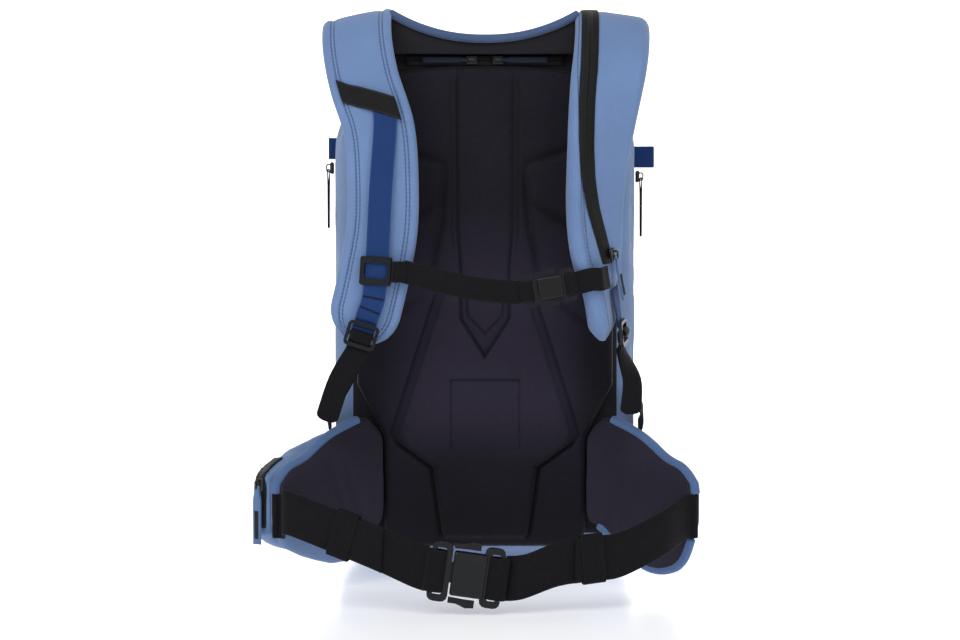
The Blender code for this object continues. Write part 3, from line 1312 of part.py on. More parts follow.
def trigger_cable(line, axis, low_z):
    """Cable sheath from the groove through the port in the top of the bag to the valve head."""
    top_z = PACK_HEIGHT - HANDLE_TOP_DROP + 1.8 * HANDLE_STEM
    above = [f for f in line if f.place.z > top_z or f.along.y < -0.5]
    groove = [spot(f, 0, -GROOVE_DEPTH / 2) for f in reversed(above)]
    port = cable_port()
    route = [
        *groove, groove[-1] + Vector((0.001, 0.008, -0.0005)), port + Vector((0, -0.002, 0.004)),
        port + Vector((0, 0, -0.035)), port + Vector((-0.002, 0.002, -0.080)),
        Vector((axis.x + 0.002, -0.012, low_z + 0.020)), Vector((axis.x, 0, low_z)),
    ]
    mesh = tube([tuple(p) for p in smooth([tuple(p) for p in route], 2)], CABLE_RADIUS)
    add("trigger_cable", mesh, "cable_sheath")


# Assembly


def harness():
    left = strap_frames(-1, LEFT_STRAP, LEFT_FACE)
    right = strap_frames(1, RIGHT_STRAP, RIGHT_FACE)
    left_strap(left)
    right_strap(right)
    yoke(left, right)
    _, line = strap_zip_tape(right)
    left_adjuster(left)
    right_adjuster(right)

    high, low = left_webbing_points(left, LEFT_RAIL)
    rail = (low - high).normalized()
    z = PACK_HEIGHT - SLIDER_DROP
    on_rail = high + rail * ((high.z - z) / -rail.z)
    rail_across = (Vector((1, 0, 0)) - rail * rail.x).normalized()
    sternum_strap(Frame(on_rail, rail_across, rail, rail.cross(rail_across)), right)
    return line


def left_adjuster(strap):
    """Webbing, ladder lock, tail and lower webbing of the left strap."""
    webbing = left_webbing_points(strap, LEFT_SEWN + LEFT_RAIL + LEFT_HUNG)
    across, normal = Vector((math.cos(LOCK_TILT), 0, math.sin(LOCK_TILT))), Vector((0, -1, 0))
    along = across.cross(normal)
    lock = Frame(webbing[-1] + along * LOOP_RADIUS, across, along, normal)
    acrosses = [Vector((1, 0, 0))] * len(LEFT_SEWN + LEFT_RAIL) + [across] * len(LEFT_HUNG)
    shoulder_webbing("left_strap_webbing", webbing, acrosses, lock)
    tail = tail_webbing("left_webbing_tail", lock, LEFT_TAIL, lock.across)
    attach(tail, ladder_lock("left_ladder_lock", lock))
    lower_webbing("left_lower_webbing", lock, -1, LEFT_LOWER)


def right_adjuster(strap):
    """Webbing, ladder lock, tail and lower webbing of the right strap."""
    hung = [at_height(strap, PACK_HEIGHT - ZIP_SLIDER_DROP - drop) for drop, _ in RIGHT_WEBBING]
    points = [spot(f, RIGHT_WEBBING_ASIDE, RIGHT_FACE + lift) for f, (_, lift) in zip(hung, RIGHT_WEBBING)]
    last = hung[-1]
    lock = last._replace(place=points[-1] + last.along * LOOP_RADIUS)
    shoulder_webbing("right_strap_webbing", points, [f.across for f in hung], lock)
    tail = tail_webbing("right_webbing_tail", lock, RIGHT_TAIL, Vector(RIGHT_TAIL_ACROSS))
    attach(tail, ladder_lock("right_ladder_lock", lock))
    lower_webbing("right_lower_webbing", lock, 1, RIGHT_LOWER)


def zips(line):
    lift = 2 * GAP + ZIP_TAPE_THICKNESS + RUNNING_GAP
    low = at_height(line, PACK_HEIGHT - ZIP_SLIDER_DROP)
    high = at_height(line, PACK_HEIGHT - ZIP_SLIDER_DROP + ZIP_SLIDER_TRAVEL)
    path = (low.place - high.place).normalized()
    on_tape = level_frame(spot(low, 0, lift), low.normal, -path)
    zip_set("strap_zip_slider", "strap_zip_pull", on_tape, STRAP_PULL_LENGTH, Vector((0.05, 0, -1)))

    z, half = BACK_ZIP_Z, BACK_ZIP_HALF_LENGTH
    y = PACK_BACK_Y - GAP - ZIP_TAPE_THICKNESS / 2
    band("back_zip_tape", [(-half, y, z), (0, y, z), (half, y, z)], [(0, 0, 1)] * 3,
         BACK_ZIP_WIDTH, ZIP_TAPE_THICKNESS, "zip_tape")
    face = PACK_BACK_Y - GAP - ZIP_TAPE_THICKNESS - RUNNING_GAP / 2
    for side, word in ((-1, "left"), (1, "right")):
        frame = level_frame((side * BACK_SLIDER_X, face, z), (0, -1, 0), (-side, 0, 0))
        zip_set(f"back_zip_slider_{word}", f"back_zip_pull_{word}", frame, BACK_PULL_LENGTH)

    reaches = (LEFT_TAB_REACH, RIGHT_TAB_REACH)
    for side, word, drop, reach in zip((-1, 1), ("left", "right"), SIDE_ZIP_DROPS, reaches):
        z = PACK_HEIGHT - drop
        frame = level_frame((side * (SIDE_X + RUNNING_GAP / 2), SIDE_TAB_Y, z), (side, 0, 0), (0, 0, 1))
        zip_set(f"side_zip_slider_{word}", f"side_zip_pull_{word}", frame, SIDE_PULL_LENGTH)
        side_tab(f"side_tab_{word}", side, reach, z + (SLIDER_LENGTH + SIDE_TAB_WIDTH) / 2 + SIDE_TAB_GAP)

    frame = front_pocket_frame()
    aside = FRONT_POCKET_WIDTH / 2 - FRONT_ZIP_INSET
    corner = spot(frame, aside, RUNNING_GAP / 2) + frame.along * FRONT_ZIP_REACH
    zip_set("front_zip_slider", "front_zip_pull", frame._replace(place=corner), FRONT_PULL_LENGTH)
    zip_set("hip_pocket_slider", "hip_pocket_pull", pocket_end_frame(), HIP_PULL_LENGTH)


clear_scene()
PARTS = collection("avalanche_airbag_backpack")
shell()
back_panel()
frame_sheet()
front_pocket()
zip_line = harness()
zips(zip_line)
hip_belt()
inflation_system(zip_line)
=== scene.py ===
"""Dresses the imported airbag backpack: its soft pieces, finishes, floor, light and camera."""

import json
import logging
import math
from dataclasses import dataclass
from enum import Enum
from typing import Callable, NamedTuple, Sequence, TypeVar

import bmesh
import bpy
from mathutils import Matrix, Vector, noise
from mathutils.bvhtree import BVHTree


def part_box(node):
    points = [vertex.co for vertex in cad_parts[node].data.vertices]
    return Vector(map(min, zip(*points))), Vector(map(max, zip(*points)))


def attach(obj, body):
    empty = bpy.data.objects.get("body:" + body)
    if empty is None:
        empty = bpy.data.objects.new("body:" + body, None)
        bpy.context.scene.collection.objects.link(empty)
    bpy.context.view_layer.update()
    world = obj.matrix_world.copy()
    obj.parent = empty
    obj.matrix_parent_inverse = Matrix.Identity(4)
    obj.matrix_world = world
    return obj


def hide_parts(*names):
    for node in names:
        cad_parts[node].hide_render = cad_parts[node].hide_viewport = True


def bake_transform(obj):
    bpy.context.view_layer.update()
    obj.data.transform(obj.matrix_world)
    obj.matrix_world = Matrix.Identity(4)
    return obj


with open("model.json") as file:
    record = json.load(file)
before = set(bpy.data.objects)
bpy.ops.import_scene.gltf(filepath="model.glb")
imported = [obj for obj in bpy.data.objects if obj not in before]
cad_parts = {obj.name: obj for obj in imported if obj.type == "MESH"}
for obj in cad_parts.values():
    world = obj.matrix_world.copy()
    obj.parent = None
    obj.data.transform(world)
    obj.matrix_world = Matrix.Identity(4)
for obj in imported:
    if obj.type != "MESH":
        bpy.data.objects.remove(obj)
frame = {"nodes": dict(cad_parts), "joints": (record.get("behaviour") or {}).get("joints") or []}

LOG = logging.getLogger("backpack")
SEWN = "sewn"
# Mesh marks that carry the back panel's painted shade and painted light.
PAINTED_SHADING = "pressed"
Choice = TypeVar("Choice")
Section = list[tuple[float, float]]
Span = tuple[float, float]
Rows = Sequence[Sequence[float]]
Mesh = bmesh.types.BMesh
Socket = bpy.types.NodeSocket
X_WAY, Y_WAY, Z_WAY = (Vector(way).freeze() for way in ((1, 0, 0), (0, 1, 0), (0, 0, 1)))
TURN_STEPS = 20
CLOTH_PRESSURE = 4.0
CLOTH_FRAMES = 20


class Side(Enum):
    """Side of the bag, as it is seen from the harness."""

    LEFT = -1
    RIGHT = 1

    @property
    def word(self) -> str:
        """The side's word in the names of pieces."""
        return self.name.lower()

    def pick(self, left: Choice, right: Choice) -> Choice:
        """One of two values, by the side."""
        return left if self is Side.LEFT else right


class Ends(Enum):
    """How the two ends of a swept piece are finished."""

    CLOSED = "closed"
    JOINED = "joined"


class Lie(Enum):
    """What the threads of a cloth follow."""

    PIECE = "piece"
    SPACE = "space"


# Places along a strap


class Station(NamedTuple):
    """A place on a strap, with the directions across it, along it and out of its face."""

    place: Vector
    across: Vector
    along: Vector
    normal: Vector

    def spot(self, across: float, outwards: float) -> Vector:
        """Point beside the place, across the strap and out of its face."""
        return self.place + self.across * across + self.normal * outwards

    def at(self, place: Vector) -> "Station":
        """The same directions at another place."""
        return self._replace(place=place)


def smooth(rows: Rows, steps: int) -> list[list[float]]:
    """Draws a smooth curve through rows of numbers.

    Args:
        rows: Rows of equal length that the curve passes through.
        steps: New rows for each given one.

    Returns:
        The rows of the curve, with both ends.
    """
    padded = [rows[0], *rows, rows[-1]]
    found = []
    for before, first, second, after in zip(padded, padded[1:], padded[2:], padded[3:]):
        for step in range(steps):
            t = step / steps
            found.append([
                0.5 * (2 * q + (r - p) * t + (2 * p - 5 * q + 4 * r - s) * t * t
                       + (3 * q - p - 3 * r + s) * t ** 3)
                for p, q, r, s in zip(before, first, second, after)
            ])
    return [*found, list(rows[-1])]


def stations(places: Sequence[Vector], acrosses: Sequence[Vector], square: bool = True) -> list[Station]:
    """Finds the directions along a row of places.

    Args:
        places: The row.
        acrosses: Direction across the strap at each place.
        square: Whether these directions are turned square to the row.

    Returns:
        A station for each place.
    """
    found = []
    for i, (place, across) in enumerate(zip(places, acrosses)):
        along = (places[min(i + 1, len(places) - 1)] - places[max(i - 1, 0)]).normalized()
        if square:
            across = across - along * across.dot(along)
        across = across.normalized()
        found.append(Station(place, across, along, along.cross(across).normalized()))
    return found


def straight(places: Sequence[Vector], across: Vector) -> list[Station]:
    """Stations along a row of places that share one direction across."""
    return stations(places, [across] * len(places))


def curved(points: Sequence[Vector], acrosses: Sequence[Vector], steps: int) -> list[Station]:
    """Stations on a smooth curve through points, with the directions across turned along it."""
    rows = smooth([[*p, *a] for p, a in zip(points, acrosses)], steps)
    return stations([Vector(row[:3]) for row in rows], [Vector(row[3:]) for row in rows])


def smooth_places(points: Sequence[Vector], steps: int) -> list[Vector]:
    """Places on a smooth curve through points."""
    return [Vector(row) for row in smooth([list(p) for p in points], steps)]


def at_height(path: Sequence[Station], z: float) -> Station:
    """The station of a hanging strap at a height, between two of its own."""
    for first, second in zip(path, path[1:]):
        if second.place.z <= z <= first.place.z and first.along.z < 0:
            t = (first.place.z - z) / (first.place.z - second.place.z)
            place, *ways = [a.lerp(b, t) for a, b in zip(first, second)]
            return Station(place, *[way.normalized() for way in ways])
    raise ValueError(f"the strap has no place at height {z}")


def bowed(start: Vector, end: Vector, side: Side, rows: Rows) -> list[Vector]:
    """Points of webbing that bows between two ends: share of the way, then aside, out and down."""
    return [start.lerp(end, t) + Vector((side.value * aside, -out, -sag)) for t, aside, out, sag in rows]


def ramp(value: float, low: float, high: float) -> float:
    """Share of the way from low to high, with soft ends."""
    t = max(0.0, min(1.0, (value - low) / (high - low)))
    return t * t * (3 - 2 * t)


def between(value: float, rows: Rows) -> float:
    """Reads a table of (place, value) rows at a place, straight between the rows."""
    for (low, first), (high, second) in zip(rows, rows[1:]):
        if low <= value <= high:
            return first + (second - first) * (value - low) / (high - low)
    return rows[0][1] if value < rows[0][0] else rows[-1][1]


def shares(count: int) -> list[float]:
    """Even shares from nought to one, with both ends."""
    return [i / count for i in range(count + 1)]


def squarer(value: float, power: float) -> float:
    """Sine or cosine drawn towards its ends, which makes a circle squarer."""
    return math.copysign(abs(value) ** power, value)


# Sections and sweeps


def tape_section(width: float, thickness: float, bow: float = 0.0) -> Section:
    """Flat tape with thin round edges, its middle bowed out of its face."""
    half, flat = width / 2, thickness / 2
    rim = flat * 0.9
    ins = [(-half + rim, flat), (-half * 0.5, flat + bow * 0.75), (0.0, flat + bow),
           (half * 0.5, flat + bow * 0.75), (half - rim, flat)]
    back = [(x, y - 2 * flat) for x, y in reversed(ins)]
    return [*ins, (half, flat * 0.4), (half, -flat * 0.4), *back, (-half, -flat * 0.4), (-half, flat * 0.4)]


def oval_section(wide: float, high: float, count: int = 12) -> Section:
    """Oval about the path."""
    turns = [-math.tau * i / count for i in range(count)]
    return [(wide * math.cos(turn), high * math.sin(turn)) for turn in turns]


def sweep(path: Sequence[Station], sections: Sequence[Section], ends: Ends = Ends.CLOSED) -> Mesh:
    """Draws sections along a path by extruding the first one from station to station.

    Args:
        path: Stations of the path.
        sections: One section for each station, all with the same number of points.
        ends: How the ends are finished.

    Returns:
        The mesh, which carries the distance from the edge, the way along and the place across.
    """
    bm = bmesh.new()
    sewn = bm.verts.layers.float_vector.new(SEWN)
    ring = [bm.verts.new(path[0].spot(x, y)) for x, y in sections[0]]
    edges = [bm.edges.new(pair) for pair in zip(ring, ring[1:] + ring[:1])]
    first_edges, length = edges, 0.0
    for i, (station, section) in enumerate(zip(path, sections)):
        if i:
            grown = bmesh.ops.extrude_edge_only(bm, edges=edges)["geom"]
            new = {item for item in grown if isinstance(item, bmesh.types.BMVert)}
            ring = [next(e.other_vert(v) for e in v.link_edges if e.other_vert(v) in new) for v in ring]
            edges = [e for e in grown if isinstance(e, bmesh.types.BMEdge) and set(e.verts) <= new]
            length += (station.place - path[i - 1].place).length
        half = max(abs(x) for x, _ in section)
        for vert, (x, y) in zip(ring, section):
            vert.co = station.spot(x, y)
            vert[sewn] = (half - abs(x), length, x)
    if ends is Ends.CLOSED:
        bmesh.ops.edgeloop_fill(bm, edges=first_edges)
        bmesh.ops.edgeloop_fill(bm, edges=edges)
    else:
        bmesh.ops.bridge_loops(bm, edges=first_edges + edges)
    bmesh.ops.recalc_face_normals(bm, faces=bm.faces)
    return bm


def tape_along(path: Sequence[Station], width: float, thickness: float, bow: float = 0.0) -> Mesh:
    """Tape of one width along a path."""
    return sweep(path, [tape_section(width, thickness, bow)] * len(path))


def webbing_turn(bar: Station, aside: float, size: Span, section: Section) -> Mesh:
    """Turn of webbing round a bar.

    Args:
        bar: Middle of the bar.
        aside: How far the middle of the turn lies to one side of the bar.
        size: Half of the turn's size across the bar and out of it.
        section: Section of the webbing.

    Returns:
        The mesh of the turn.
    """
    wide, deep = size
    path = []
    for i in range(TURN_STEPS):
        turn = math.tau * i / TURN_STEPS
        out = bar.across * (wide * math.cos(turn) + aside) + bar.normal * (deep * math.sin(turn))
        path.append(Station(bar.place + out, -bar.along, Vector(), out.normalized()))
    return sweep(path, [section] * TURN_STEPS, Ends.JOINED)


def merged(first: Mesh, *others: Mesh) -> Mesh:
    """Puts several meshes into the first one."""
    for other in others:
        held = bpy.data.meshes.new("held")
        other.to_mesh(held)
        other.free()
        first.from_mesh(held)
        bpy.data.meshes.remove(held)
    return first


def rounded_block(half: Vector, corner: float, cuts: int) -> Mesh:
    """Block about the origin with round edges and an even grid of faces.

    Args:
        half: Half of its sizes.
        corner: Radius of its edges.
        cuts: Cuts along each edge of the cube it starts from.

    Returns:
        The mesh.
    """
    bm = bmesh.new()
    bmesh.ops.create_cube(bm, size=2.0)
    bmesh.ops.subdivide_edges(bm, edges=bm.edges[:], cuts=cuts, use_grid_fill=True)
    inner = half - Vector((corner, corner, corner))
    for vert in bm.verts:
        wide = Vector([c * h for c, h in zip(vert.co, half)])
        core = Vector([max(-i, min(i, w)) for w, i in zip(wide, inner)])
        out = wide - core
        if out.length:
            vert.co = core + out.normalized() * corner
        else:
            vert.co = wide
    return bm


# Finishes


class Nodes:
    """Short way to build one node material."""

    def __init__(self, name: str) -> None:
        """Starts a material with its shader."""
        self.material = bpy.data.materials.new(name)
        self.material.use_nodes = True
        self.tree = self.material.node_tree
        self.shader = self.tree.nodes["Principled BSDF"]

    def add(self, kind: str, inputs: dict[str, object] | None = None, **settings: object) -> bpy.types.Node:
        """Adds a node.

        Args:
            kind: Node type without its prefix.
            inputs: Values or sockets for the node's inputs.
            settings: Properties of the node.

        Returns:
            The node.
        """
        node = self.tree.nodes.new("ShaderNode" + kind)
        for name, value in settings.items():
            setattr(node, name, value)
        for name, value in (inputs or {}).items():
            self.put(node, name, value)
        return node

    def put(self, node: bpy.types.Node, name: str | int, value: object) -> None:
        """Links a socket to an input, or sets the input's own value."""
        if isinstance(value, bpy.types.NodeSocket):
            self.tree.links.new(value, node.inputs[name])
        else:
            node.inputs[name].default_value = value

    def look(self, name: str, value: object) -> None:
        """Sets an input of the shader, or links a socket to it."""
        self.put(self.shader, name, value)

    def place(self) -> Socket:
        """Place on the piece in its own space."""
        return self.add("TexCoord").outputs["Object"]

    def marks(self, layer: str) -> Socket:
        """Numbers that the mesh carries at its points."""
        return self.add("Attribute", attribute_name=layer).outputs["Vector"]

    def parts(self, vector: Socket) -> Sequence[Socket]:
        """The three numbers of a vector."""
        return self.add("SeparateXYZ", {0: vector}).outputs

    def math(self, operation: str, first: object, second: object = 0.0) -> Socket:
        """Result of a Math node."""
        node = self.add("Math", operation=operation)
        self.put(node, 0, first)
        self.put(node, 1, second)
        return node.outputs[0]

    def span(self, value: Socket, low: float, high: float, first: float, second: float) -> Socket:
        """Maps a value from one range to another, held at its ends."""
        inputs = {"Value": value, "From Min": low, "From Max": high, "To Min": first, "To Max": second}
        return self.add("MapRange", inputs, interpolation_type="SMOOTHSTEP").outputs[0]

    def grain(self, vector: Socket, scale: float, detail: float = 2.0) -> Socket:
        """Noise at a scale."""
        return self.add("TexNoise", {"Vector": vector, "Scale": scale, "Detail": detail}).outputs["Fac"]

    def threads(self, vector: Socket, pitch: float, way: str) -> Socket:
        """Waves with a pitch in metres along X, Y or Z."""
        scale = math.tau / (20 * pitch)
        inputs = {"Vector": vector, "Scale": scale, "Distortion": 0.6, "Detail": 1.0, "Detail Scale": 0.4}
        return self.add("TexWave", inputs, bands_direction=way).outputs["Fac"]

    def mix(self, share: Socket, first: object, second: object) -> Socket:
        """Mixes two colours by a share."""
        return self.add("MixRGB", {"Fac": share, "Color1": first, "Color2": second}).outputs[0]

    def bump(self, height: Socket, distance: float, strength: float, below: Socket | None = None) -> Socket:
        """Bump from a height in metres, on top of another bump."""
        inputs = {"Height": height, "Distance": distance, "Strength": strength}
        if below:
            inputs["Normal"] = below
        return self.add("Bump", inputs).outputs[0]


@dataclass(frozen=True)
class Finish:
    """A finish of the backpack, and the slot of the record that it stands for."""

    name: str
    slot: str
    colour: tuple[float, float, float]
    roughness: float = 0.8

    def material(self) -> bpy.types.Material:
        """The finish's material, which is built once."""
        made = bpy.data.materials.get(self.name)
        return made or self.build(Nodes(self.name))

    def build(self, nodes: Nodes) -> bpy.types.Material:
        """Builds the nodes of the material."""
        raise NotImplementedError

    def tint(self, share: float) -> tuple[float, float, float, float]:
        """The finish's colour made lighter or darker."""
        return (*(min(1.0, c * share) for c in self.colour), 1.0)

    def patchy(self, nodes: Nodes, share: Socket, dark: float, pale: float) -> Socket:
        """The finish's colour in darker and paler patches."""
        return nodes.mix(nodes.span(share, 0.3, 0.7, 0.0, 1.0), self.tint(dark), self.tint(pale))

    def rough(self, nodes: Nodes, share: Socket, less: float, more: float) -> Socket:
        """The finish's roughness, a little less or more by patches."""
        return nodes.span(share, 0.3, 0.7, self.roughness - less, self.roughness + more)

    def shade(self, nodes: Nodes, colour: Socket, rough: Socket, normal: Socket) -> bpy.types.Material:
        """Joins colour, roughness and bump to the shader."""
        nodes.look("Base Color", colour)
        nodes.look("Roughness", rough)
        nodes.look("Normal", normal)
        return nodes.material


@dataclass(frozen=True)
class Cloth(Finish):
    """Woven cloth with soft wrinkles, faded patches and rows of stitching."""

    lie: Lie = Lie.SPACE
    pitch: float = 0.0013
    wrinkle: float = 0.0012
    sheen: float = 0.25
    stitches: tuple[float, ...] = ()
    thread: tuple[float, float, float] = (0.035, 0.060, 0.130)

    def build(self, nodes: Nodes) -> bpy.types.Material:
        """Builds the cloth."""
        place = nodes.place()
        if self.lie is Lie.PIECE:
            sewn = nodes.marks(SEWN)
            warp, weft = nodes.threads(sewn, self.pitch, "Z"), nodes.threads(sewn, self.pitch, "Y")
        else:
            turned = nodes.add("Mapping", {"Vector": place, "Rotation": (0.0, 0.0, math.pi / 4)}).outputs[0]
            warp, weft = nodes.threads(turned, self.pitch, "X"), nodes.threads(place, self.pitch, "Z")
        weave = nodes.math("MULTIPLY", warp, weft)
        patches = nodes.grain(place, 14.0, 3.0)
        fibres = nodes.grain(place, 900.0, 2.0)
        light = nodes.math("ADD", nodes.math("MULTIPLY", patches, 0.6), nodes.math("MULTIPLY", fibres, 0.4))
        colour = nodes.mix(nodes.span(light, 0.25, 0.75, 0.0, 1.0),
                           self.tint(0.86), self.tint(1.10))
        colour = nodes.mix(nodes.math("MULTIPLY", weave, 0.35), colour, self.tint(0.78))
        folds = nodes.bump(nodes.grain(place, 28.0, 3.0), self.wrinkle, 0.7)
        normal = nodes.bump(weave, 0.00030, 0.5, folds)
        if self.stitches:
            colour, normal = self.sew(nodes, colour, normal)
        rough = self.rough(nodes, fibres, 0.06, 0.06)
        nodes.look("Sheen Weight", self.sheen)
        nodes.look("Sheen Roughness", 0.45)
        nodes.look("Specular IOR Level", 0.25)
        return self.shade(nodes, colour, rough, normal)

    def sew(self, nodes: Nodes, colour: Socket, normal: Socket) -> tuple[Socket, Socket]:
        """Adds rows of stitches at distances from the edge of the piece.

        Args:
            nodes: The material.
            colour: Colour so far.
            normal: Bump so far.

        Returns:
            The colour and the bump with the stitches.
        """
        axes = nodes.parts(nodes.marks(SEWN))
        rows = None
        for line in self.stitches:
            off = nodes.math("ABSOLUTE", nodes.math("SUBTRACT", axes[0], line))
            row = nodes.span(off, 0.0003, 0.0008, 0.85, 0.0)
            rows = row if rows is None else nodes.math("MAXIMUM", rows, row)
        step = nodes.math("FRACT", nodes.math("DIVIDE", axes[1], 0.0036))
        dash = nodes.span(step, 0.70, 0.80, 1.0, 0.35)
        seam = nodes.math("MULTIPLY", rows, dash)
        return nodes.mix(seam, colour, (*self.thread, 1.0)), nodes.bump(seam, 0.0005, 0.8, normal)


@dataclass(frozen=True)
class Webbing(Finish):
    """Ribbed webbing, its ribs along the piece and its rims darker."""

    rib: float = 0.0016
    sheen: float = 0.12

    def build(self, nodes: Nodes) -> bpy.types.Material:
        """Builds the webbing."""
        sewn = nodes.marks(SEWN)
        axes = nodes.parts(sewn)
        place = nodes.place()
        ribs = nodes.threads(sewn, self.rib, "Z")
        picks = nodes.threads(sewn, self.rib * 0.7, "Y")
        weave = nodes.math("ADD", nodes.math("MULTIPLY", ribs, 0.7), nodes.math("MULTIPLY", picks, 0.3))
        fibres = nodes.grain(place, 700.0, 2.0)
        patches = nodes.grain(place, 22.0, 2.0)
        colour = self.patchy(nodes, patches, 0.84, 1.16)
        colour = nodes.mix(nodes.math("MULTIPLY", weave, 0.45), self.tint(0.70), colour)
        rim = nodes.span(axes[0], 0.0004, 0.0018, 0.35, 0.0)
        colour = nodes.mix(rim, colour, self.tint(1.7))
        normal = nodes.bump(weave, 0.00035, 0.6, nodes.bump(patches, 0.0010, 0.4))
        rough = self.rough(nodes, fibres, 0.08, 0.06)
        nodes.look("Sheen Weight", self.sheen)
        nodes.look("Specular IOR Level", 0.15)
        return self.shade(nodes, colour, rough, normal)


@dataclass(frozen=True)
class Foam(Finish):
    """Moulded foam under a fine knit, with painted shade and painted light that the panel's mesh carries."""

    knit: float = 0.0011
    # How much paler the painted light makes the knit.
    wear_and_painted_light: float = 1.7

    def build(self, nodes: Nodes) -> bpy.types.Material:
        """Builds the foam."""
        place = nodes.place()
        cells = nodes.add("TexVoronoi", {"Vector": place, "Scale": 1 / self.knit}).outputs["Distance"]
        patches = nodes.grain(place, 9.0, 3.0)
        lint = nodes.grain(place, 260.0, 3.0)
        colour = self.patchy(nodes, patches, 0.85, 1.18)
        colour = nodes.mix(nodes.span(lint, 0.55, 0.80, 0.0, 0.35), colour, self.tint(1.7))
        colour = nodes.mix(nodes.span(cells, 0.0, 0.6, 0.30, 0.0), colour, self.tint(0.6))
        # Painted light from the second mark where the shield tilts up; painted shade from the first in
        # creases, grooves and at the foot.
        pressed = nodes.parts(nodes.marks(PAINTED_SHADING))
        colour = nodes.mix(pressed[1], colour, self.tint(self.wear_and_painted_light))
        colour = nodes.mix(pressed[0], colour, self.tint(0.22))
        normal = nodes.bump(cells, 0.00018, 0.35, nodes.bump(patches, 0.0016, 0.35))
        rough = self.rough(nodes, lint, 0.05, 0.08)
        nodes.look("Sheen Weight", 0.05)
        nodes.look("Specular IOR Level", 0.14)
        return self.shade(nodes, colour, rough, normal)


@dataclass(frozen=True)
class ZipTape(Finish):
    """Zip tape, its two rows of teeth under a thin cover that parts in the middle."""

    pitch: float = 0.0017
    cover: float = 0.0030

    def build(self, nodes: Nodes) -> bpy.types.Material:
        """Builds the tape."""
        sewn = nodes.marks(SEWN)
        axes = nodes.parts(sewn)
        place = nodes.place()
        off = nodes.math("ABSOLUTE", axes[2])
        teeth = nodes.math("MULTIPLY", nodes.threads(sewn, self.pitch, "Y"),
                           nodes.span(off, self.cover * 0.6, self.cover, 1.0, 0.0))
        slit = nodes.span(off, 0.0002, 0.0007, 1.0, 0.0)
        fibres = nodes.grain(place, 500.0, 2.0)
        colour = self.patchy(nodes, fibres, 0.8, 1.25)
        colour = nodes.mix(nodes.math("MULTIPLY", teeth, 0.5), colour, self.tint(1.8))
        colour = nodes.mix(slit, colour, self.tint(0.25))
        normal = nodes.bump(teeth, 0.0004, 0.6, nodes.bump(slit, -0.0006, 0.8))
        rough = nodes.span(teeth, 0.0, 1.0, self.roughness, self.roughness - 0.2)
        nodes.look("Specular IOR Level", 0.2)
        return self.shade(nodes, colour, rough, normal)


@dataclass(frozen=True)
class Moulded(Finish):
    """Moulded or turned material with a fine grain and worn patches."""

    metal: float = 0.0
    grain: float = 900.0
    rub: float = 1.35

    def build(self, nodes: Nodes) -> bpy.types.Material:
        """Builds the material."""
        place = nodes.place()
        fine = nodes.grain(place, self.grain, 2.0)
        # Paler, glossier patches of wear.
        wear_and_painted_light = nodes.span(nodes.grain(place, 60.0, 4.0), 0.50, 0.72, 0.0, 1.0)
        colour = nodes.mix(wear_and_painted_light, self.tint(0.92), self.tint(self.rub))
        colour = nodes.mix(nodes.span(fine, 0.35, 0.65, 0.0, 0.25), colour, self.tint(0.7))
        normal = nodes.bump(fine, 0.00008, 0.5)
        rough = nodes.span(wear_and_painted_light, 0.0, 1.0, self.roughness, self.roughness - 0.10)
        nodes.look("Metallic", self.metal)
        nodes.look("Specular IOR Level", 0.5 if self.metal else 0.26)
        return self.shade(nodes, colour, rough, normal)


@dataclass(frozen=True)
class Floor(Finish):
    """Pale, slightly glossy studio floor that is lit from below."""

    glow: float = 0.40

    def build(self, nodes: Nodes) -> bpy.types.Material:
        """Builds the floor."""
        place = nodes.place()
        dust = nodes.grain(place, 6.0, 3.0)
        colour = nodes.mix(dust, self.tint(0.99), self.tint(1.0))
        rough = nodes.span(dust, 0.2, 0.8, self.roughness - 0.03, self.roughness + 0.03)
        nodes.look("Emission Color", (1.0, 1.0, 1.0, 1.0))
        nodes.look("Emission Strength", self.glow)
        return self.shade(nodes, colour, rough, nodes.bump(dust, 0.0001, 0.02))


@dataclass(frozen=True)
class Backdrop(Finish):
    """Evenly lit paper behind the floor."""

    glow: float = 1.0

    def build(self, nodes: Nodes) -> bpy.types.Material:
        """Builds the paper."""
        nodes.look("Emission Color", (*self.colour, 1.0))
        nodes.look("Emission Strength", self.glow)
        return nodes.material


